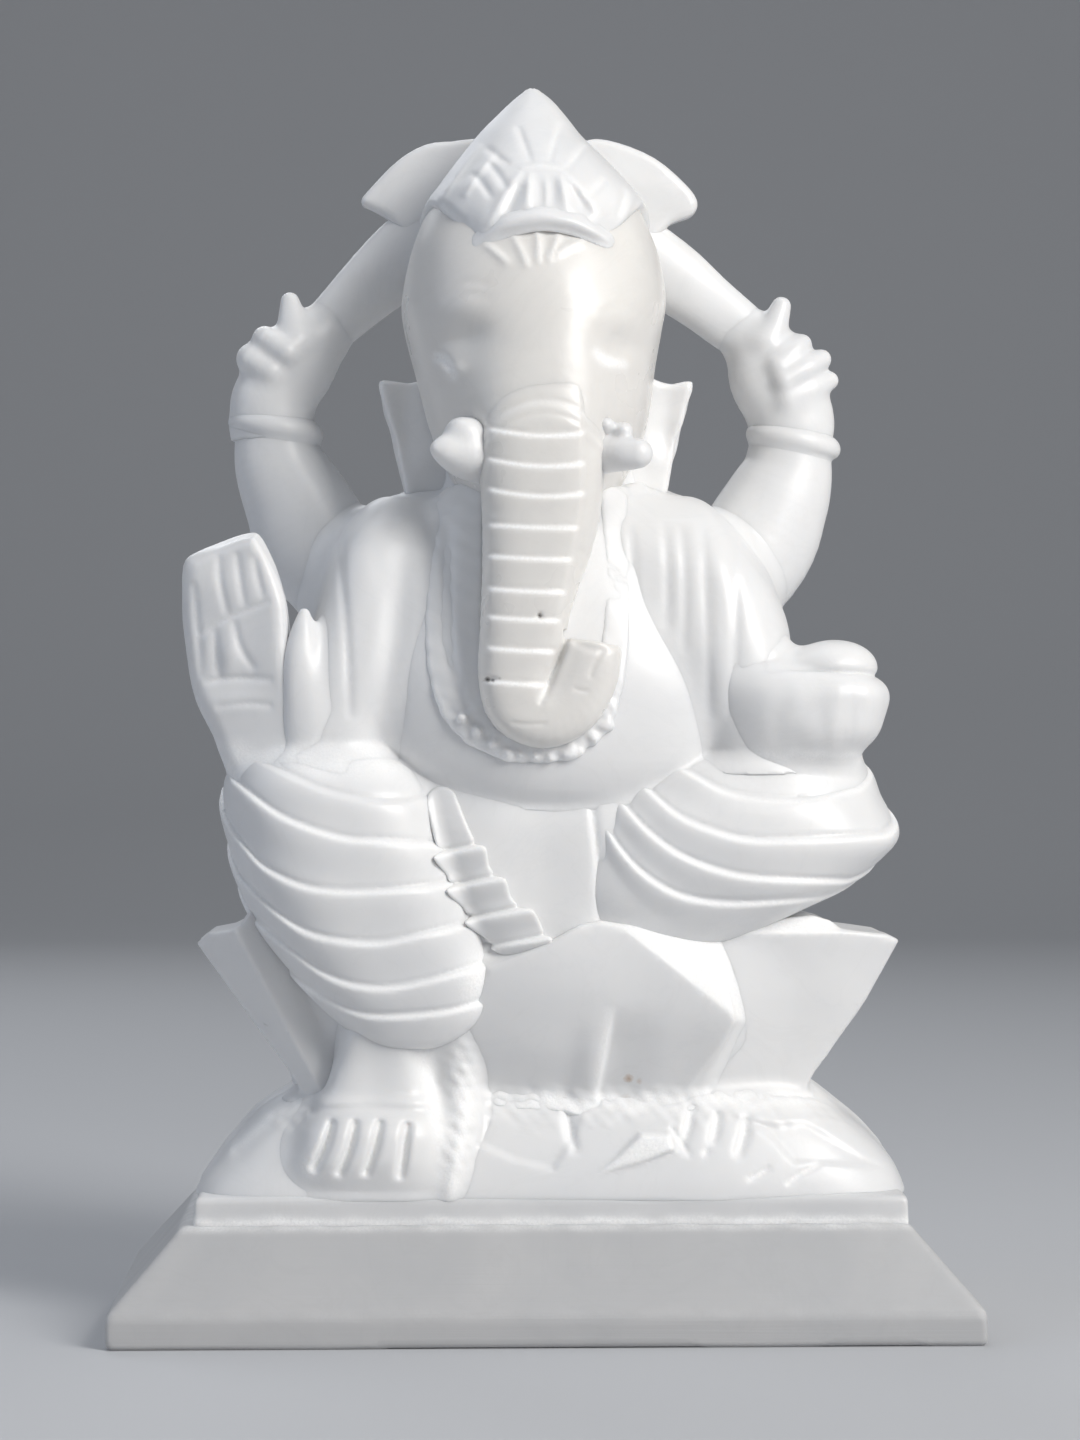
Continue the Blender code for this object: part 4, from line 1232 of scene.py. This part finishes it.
def crown_crushed(p):
    return (strokes(p, CROWN_CUTS, 0.9, 0.4) + strokes(p, CROWN_BARS, 1.2, 0.35)) * in_front(p, -16)


def crown_band(p):
    form = tube(p, (
        (-16.5, -42.2, 265.4, 0.7, 1.2), (-13.5, -44.0, 267.2, 1.1, 1.7),
        (-9, -45.6, 269.4, 1.3, 2.0), (-1.5, -46.4, 270.9, 1.4, 2.0),
        (6, -45.6, 270.0, 1.3, 2.0), (11.2, -44.0, 268.0, 1.1, 1.7),
        (14.5, -42.2, 266.4, 0.7, 1.2),
    ))
    return flow(form, join(head_body(p), crown_body(p), 2.0), 2.0, 1.6)


def make_head():
    carve("form_head", head, (-39, -57, 198), (35, 26, 288), 0.6, head_crushed, "warm")
    carve("form_trunk", trunk, (-19, -60, 139), (22, -22, 264), 0.45, trunk_ledge_highlight_and_crease, "trunk")
    carve("form_tusk_right", lambda p: tusk(p, -1), (-32, -56, 203), (-2, -32, 228), 0.45)
    carve("form_tusk_left", lambda p: tusk(p, 1), (2, -56, 203), (32, -32, 228), 0.45)
    carve("form_ear_left", lambda p: ear(p, 1), (12, -13, 194), (40, 3, 243), 0.55)
    carve("form_ear_right", lambda p: ear(p, -1), (-43, -13, 194), (-12, 3, 243), 0.55)
    carve("form_crown", crown, (-36, -54, 254), (33, 25, 309), 0.45, crown_crushed)
    carve("form_crown_band", crown_band, (-24, -52, 258), (22, -32, 276), 0.35)


# ---------------------------------------------------------------- raised arms, hands and axes

def raised_arm_body(p, side):
    p = (side * p[0], p[1], p[2])
    wrist, height, elbow = (64.5, 223.0, 56.0) if side > 0 else (67.0, 225.0, 57.0)
    return tube(p, (
        (44, 6, 178, 13, 14),
        (elbow - 1, 8.5, 194, 15, 13.5),
        (elbow + 4, 9.5, 204, 13.6, 12.5),
        (wrist - 1.2, ARM_DEPTH, height - 11, 11.6, 11),
        (wrist, ARM_DEPTH, height - 2, 10.2, 10),
        (wrist + 1.0, ARM_DEPTH, height + 5, 9.0, 9.2),
    ))


def raised_arm(p, side):
    return raised_arm_body(p, side) + 0.25 * wobble(p, 9.0, 3.0)


def bracelet(p, side):
    p = (side * p[0], p[1], p[2])
    wrist, height, slope = (65.2, 221.2, -0.17) if side > 0 else (67.0, 224.2, 0.14)
    x, y, z = p
    ring = np.sqrt((x - wrist) ** 2 + ((y - ARM_DEPTH) * 1.03) ** 2)
    form = np.sqrt(np.maximum(ring - 9.2, 0) ** 2 + (z - height - slope * (x - wrist)) ** 2) - 2.9
    return flow(form, raised_arm((side * x, y, z), side), 1.2, 2.5)


RIGHT_PALM = (
    (-69.4, ARM_DEPTH, 226, 9.2, 9),
    (-67.5, ARM_DEPTH, 233, 9.8, 9.4),
    (-62.5, ARM_DEPTH, 240, 10.6, 9.2),
    (-58.5, ARM_DEPTH, 245, 8.4, 8),
)
LEFT_PALM = (
    (65.4, ARM_DEPTH, 226, 9.4, 9),
    (63.2, ARM_DEPTH, 231, 10.6, 9.4),
    (60, ARM_DEPTH, 238, 11.2, 9.2),
    (57, ARM_DEPTH, 244, 8.4, 8),
)
RIGHT_KNUCKLES = (
    ((-68, 2, 238, 3.4, 3.4), (-73.0, 6, 241.6, 4.0, 4.4), (-70, 13, 240, 4, 4)),
    ((-64, 1, 243, 3.2, 3.2), (-69.6, 5, 246.6, 3.2, 4.0), (-67, 12, 244, 4, 4)),
    ((-61.5, 4, 246, 4.4, 4.2), (-62.6, 6, 251, 3.8, 3.8), (-63.4, 7, 256.2, 2.5, 2.6)),
)
LEFT_KNUCKLES = (
    ((58, 5, 246, 4.0, 4.0), (60.2, 6, 251, 3.4, 3.4), (61.8, 6.5, 255.4, 2.5, 2.6)),
    ((60.5, 2, 240, 3.0, 3.2), (65, 4, 244, 2.8, 3.2), (67.2, 7, 246.0, 2.5, 2.8)),
    ((62, 1, 236, 3.0, 3.2), (68, 3, 239.6, 2.9, 3.2), (72.0, 6, 242.0, 2.6, 2.8)),
    ((63, 2, 231.5, 3.0, 3.2), (69.5, 4, 234.4, 2.8, 3.2), (74.2, 7, 236.6, 2.4, 2.8)),
)


def raised_hand(p, side):
    """A fist on the axe: the palm leans in from the wrist, with its fingers round the shaft."""
    form = tube(p, LEFT_PALM if side > 0 else RIGHT_PALM)
    for finger in LEFT_KNUCKLES if side > 0 else RIGHT_KNUCKLES:
        form = join(form, tube(p, finger), 2.4)
    ground = join(raised_arm(p, side), axe_shaft(p, side), 3.0)
    return flow(form, ground, 4.0, 5.0) + 0.2 * wobble(p, 5.0, 4.0)


def axe_shaft(p, side):
    p = (side * p[0], p[1], p[2])
    hold, shoulder = ((56.0, 246.5), (31.0, 265.5)) if side > 0 else ((57.0, 247.0), (37.0, 266.0))
    form = tube(p, (
        (hold[0] + 7, ARM_DEPTH, hold[1] - 6, 5.6, 4.5),
        (hold[0], ARM_DEPTH, hold[1], 6.5, 5),
        (shoulder[0], ARM_DEPTH, shoulder[1], 9.2, 5),
        (shoulder[0] - 10, ARM_DEPTH, shoulder[1] + 8, 9.5, 5),
    ))
    return form + 0.45 * wobble(p, 4.0, 5.0)


LEFT_BLADE = (
    (4, 292), (12, 297.6), (20, 297.2), (29.5, 293.3), (36.8, 287), (40.2, 282.4),
    (39, 279), (33.5, 276.6), (24, 269), (6, 274),
)
RIGHT_BLADE = (
    (-6, 292), (-14, 297.8), (-22, 297.3), (-29, 296.4), (-35.5, 292.6), (-42, 286.3),
    (-45.3, 281.8), (-42, 279.8), (-37.6, 277.2), (-28, 269), (-8, 274),
)


def axe_blade(p, side):
    outline = LEFT_BLADE if side > 0 else RIGHT_BLADE
    form = plate(p, outline, ARM_DEPTH - 4.2, ARM_DEPTH + 4.2, edge=2.0, steps=3)
    ridge = stroke(p, ((side * 10, 290), (side * 25, 287), (side * 38, 281)), 4.5, 0.8)
    return form - ridge + 0.15 * wobble(p, 5.0, 3.0)


RAISED_PIECES = (  # name, form, x from and to on the left and on the right, y and z from and to, cell
    ("raised_arm", raised_arm, (27, 80), (-80, -27), (-10, 162), (24, 242), 0.6),
    ("bracelet", bracelet, (40, 82), (-82, -40), (-4, 215), (24, 232), 0.45),
    ("raised_hand", raised_hand, (40, 82), (-82, -40), (-8, 222), (24, 264), 0.45),
    ("axe_shaft", axe_shaft, (18, 72), (-72, -18), (3, 232), (17, 286), 0.5),
    ("axe_blade", axe_blade, (2, 42), (-48, -4), (3, 266), (17, 300), 0.5),
)


def make_raised():
    for side_name, side in (("left", 1), ("right", -1)):
        for name, form, left, right, low, high, cell in RAISED_PIECES:
            x = left if side > 0 else right
            carve(f"form_{name}_{side_name}", lambda p, f=form, s=side: f(p, s),
                  (x[0], *low), (x[1], *high), cell)


# ---------------------------------------------------------------- front hands

BLESSING_HAND = (
    (-71.8, 196.0), (-78.6, 194), (-85.4, 191), (-88.4, 187.7), (-88.8, 178), (-87.9, 166),
    (-85.3, 155), (-81.0, 146), (-76, 136), (-62, 134), (-60, 150),
    (-62, 165), (-63.0, 177), (-65.3, 186), (-67.5, 191.5), (-69.5, 195),
)
FINGER_LINES = (
    ((-85.8, 184), (-85, 174), (-83.8, 160)),
    ((-79.6, 190.5), (-79.2, 184), (-77.4, 175.5)),
    ((-75.2, 191), (-74.4, 185), (-73.2, 177.5)),
    ((-70.8, 190), (-70, 185), (-68.6, 179.5)),
    ((-80.4, 172.5), (-80.2, 166), (-79.4, 160)),
    ((-75.8, 174.5), (-74.4, 168), (-70.6, 162)),
)
PALM_LINES = (
    ((-84.5, 170.5), (-77, 175), (-66.5, 179.0)),
    ((-83.5, 159.2), (-76, 160.2), (-66, 159.8)),
    ((-80.5, 153), (-73, 154), (-66, 153.5)),
)


def blessing_hand_body(p):
    return plate(p, BLESSING_HAND, -35.0 - 0.38 * (p[0] + 75), -20, edge=4.0)


def blessing_hand(p):
    form = flow(blessing_hand_body(p), right_leg_body(p), 4.0, 6.0)
    cuts = strokes(p, FINGER_LINES, 1.0, 0.6) + strokes(p, PALM_LINES, 0.9, 0.55) + 1.2 * ramp(p[2], 178, 196)
    pads = 0.8 * near(p, -75, 154.5, 8, 3) + 0.9 * near(p, -77, 165.5, 2.5, 5) + 0.6 * near(p, -66, 170, 4, 6)
    return form + (cuts - pads) * in_front(p, -30) + 0.3 * wobble(p, 5.0, 9.0)


def blessing_hand_crushed(p):
    wrist = 0.8 * (1 - ramp(p[2], 142, 147)) * uneven(p, 0.6, 2.5, 4.0)
    cut = most(strokes(p, FINGER_LINES, 0.9, 0.4), strokes(p, PALM_LINES, 0.8, 0.4), wrist)
    return cut * in_front(p, -28)


def blessing_thumb(p):
    form = tube(p, (
        (-58.5, -31, 140, 6.4, 8), (-59.3, -34, 152, 5.6, 7.5), (-59.6, -35.5, 163, 4.6, 6),
        (-59.0, -36, 171, 3.0, 4), (-58.7, -35.5, 175.8, 1.4, 2),
    ), steps=12, square=2.3)
    ground = join(right_leg_body(p), shawl_right_body(p), 4.0)
    return flow(form, ground, 5.0, 7.0) + 0.15 * wobble(p, 6.0, 3.0)


def blessing_thumb_crushed(p):
    return 0.75 * (1 - ramp(p[2], 143, 148)) * uneven(p, 0.7, 2.5, 3.0)


def offering_hand_body(p):
    return stack(p, (
        (136, 50, 77, -36, -8), (141, 47, 78.2, -42, -8), (147, 45, 80.5, -45.5, -8),
        (153, 44, 82.5, -47, -10), (158, 44, 82.5, -46.5, -12), (162, 46, 78, -43.5, -14),
        (165, 50, 72, -38, -18),
    ), roundness=2.9, soft=3.0)


HAND_HOLLOWS = (
    ((57.5, 158), (56, 150), (57, 143)),
    ((67, 158), (66, 150), (66.5, 143)),
    ((75, 159), (73.5, 151), (72.5, 144)),
)


def offering_hand(p):
    form = offering_hand_body(p)
    for x, z, wide in ((79.6, 155.6, 4.0), (77.6, 148.6, 3.6)):
        finger = ((x - 11, -41, z - 0.5, wide, 4), (x - 4, -40, z, wide, 4.5), (x, -35, z, wide, 4.5))
        form = join(form, tube(p, finger), 5.0)
    form = form + strokes(p, HAND_HOLLOWS, 2.6, 0.4) * in_front(p, -36, 5.0)
    ground = join(left_leg_body(p), shawl_left_body(p), 4.0)
    return flow(form, ground, 4.5, 7.0) + 0.25 * wobble(p, 7.0, 2.0)


def offering_hand_crushed(p):
    lower = 0.85 * bell(p[2] - 141.5 + 0.8 * wobble(p, 2.0, 1.0), 1.6)
    return lower * uneven(p, 0.6, 3.0, 3.0) * in_front(p, -25)


MODAK_CREASE = ((56, 160), (70, 161.6), (82, 161))


def modak(p):
    form = ball(p, (70.2, -33, 162.2), (11.4, 11.5, 7.4), turn=3)
    form = join(form, ball(p, (61, -33, 162), (7.5, 9, 4.2), turn=-14), 4.0)
    form = flow(form, offering_hand_body(p), 2.0, 4.0) + stroke(p, MODAK_CREASE, 0.9, 0.9) * in_front(p, -30)
    return flow(form, shawl_left_body(p), 5.0, 5.0) + 0.2 * wobble(p, 4.0, 1.0)


def modak_crushed(p):
    return stroke(p, MODAK_CREASE, 0.9, 0.5)


def make_front_hands():
    carve("form_blessing_hand", blessing_hand, (-91, -42, 130), (-55, -17, 198), 0.5, blessing_hand_crushed)
    carve("form_blessing_thumb", blessing_thumb, (-70, -48, 128), (-44, -18, 180), 0.5,
          blessing_thumb_crushed)
    carve("form_offering_hand", offering_hand, (38, -52, 130), (87, -6, 169), 0.5, offering_hand_crushed)
    carve("form_modak", modak, (52, -46, 153), (84, -18, 174), 0.45, modak_crushed)


# ---------------------------------------------------------------- stage, light and camera

AIM = (0.0, 0.0, 0.15)  # metres, as is all of the studio
LIGHTS = (  # name, place, width and height, watts, colour
    ("Key", (0.88, -1.02, 0.95), (0.45, 0.8), 18.8, (1.0, 0.98, 0.95)),
    ("Window", (1.24, -0.86, 0.62), (0.07, 0.6), 3.0, (1.0, 0.97, 0.94)),
    ("Top", (-0.1, 0.1, 1.75), (1.0, 1.0), 4.5, (0.95, 0.97, 1.0)),
    ("Fill", (-1.3, -0.3, 0.8), (1.2, 1.2), 4.6, (0.80, 0.87, 1.0)),
    ("Back", (-0.4, 1.2, 1.1), (0.8, 0.8), 4.0, (0.95, 0.97, 1.0)),
)
SKY, SKY_STRENGTH = (0.90, 0.94, 1.0, 1.0), 0.20
FLOOR_COLOUR, FLOOR_ROUGHNESS = (0.50, 0.51, 0.53, 1.0), 0.8


def make_stage():
    """A pale sweep: a floor that curves up far behind the idol."""
    width, near_edge, depth, rise, bend, steps = 6.0, -4.0, 2.6, 3.0, 0.9, 12
    profile = [(near_edge, 0.0), (depth - bend, 0.0)]
    for k in range(1, steps + 1):
        angle = math.pi / 2 * k / steps
        profile.append((depth - bend + bend * math.sin(angle), bend - bend * math.cos(angle)))
    profile.append((depth, rise))
    points = [(x, y, z) for y, z in profile for x in (-width, width)]
    faces = [(2 * i, 2 * i + 1, 2 * i + 3, 2 * i + 2) for i in range(len(profile) - 1)]
    mesh = bpy.data.meshes.new("sweep")
    mesh.from_pydata(points, [], faces)
    mesh.shade_smooth()
    sweep = bpy.data.objects.new("sweep", mesh)
    bpy.context.scene.collection.objects.link(sweep)
    paint = bpy.data.materials.new("Pale floor")
    paint.use_nodes = True
    shader = paint.node_tree.nodes["Principled BSDF"]
    shader.inputs["Base Color"].default_value = FLOOR_COLOUR
    shader.inputs["Roughness"].default_value = FLOOR_ROUGHNESS
    mesh.materials.append(paint)


def make_light(name, place, size, power, colour):
    lamp = bpy.data.lights.new(name, "AREA")
    lamp.shape = "RECTANGLE"
    lamp.size, lamp.size_y = size
    lamp.energy = power
    lamp.color = colour
    item = bpy.data.objects.new(name, lamp)
    item.location = place
    item.rotation_euler = (Vector(AIM) - Vector(place)).to_track_quat("-Z", "Y").to_euler()
    bpy.context.scene.collection.objects.link(item)


def make_camera():
    """The photograph's view: about a metre away, at mid height, a little to the viewer's left."""
    distance, height, azimuth = 1.0, 0.150, math.radians(-2.0)
    camera = bpy.data.cameras.new("Camera")
    camera.sensor_width = 36.0
    camera.lens = 98.85
    item = bpy.data.objects.new("Camera", camera)
    item.location = (distance * math.sin(azimuth), -distance * math.cos(azimuth), height)
    item.rotation_euler = (math.pi / 2, 0.0, azimuth)
    bpy.context.scene.collection.objects.link(item)
    bpy.context.scene.camera = item


def make_studio():
    make_stage()
    for light in LIGHTS:
        make_light(*light)
    world = bpy.data.worlds.new("Studio")
    world.use_nodes = True
    world.node_tree.nodes["Background"].inputs["Color"].default_value = SKY
    world.node_tree.nodes["Background"].inputs["Strength"].default_value = SKY_STRENGTH
    bpy.context.scene.world = world
    bpy.context.scene.view_settings.view_transform = "Standard"


make_camera()
make_base()
make_legs()
make_body()
make_head()
make_raised()
make_front_hands()
make_studio()
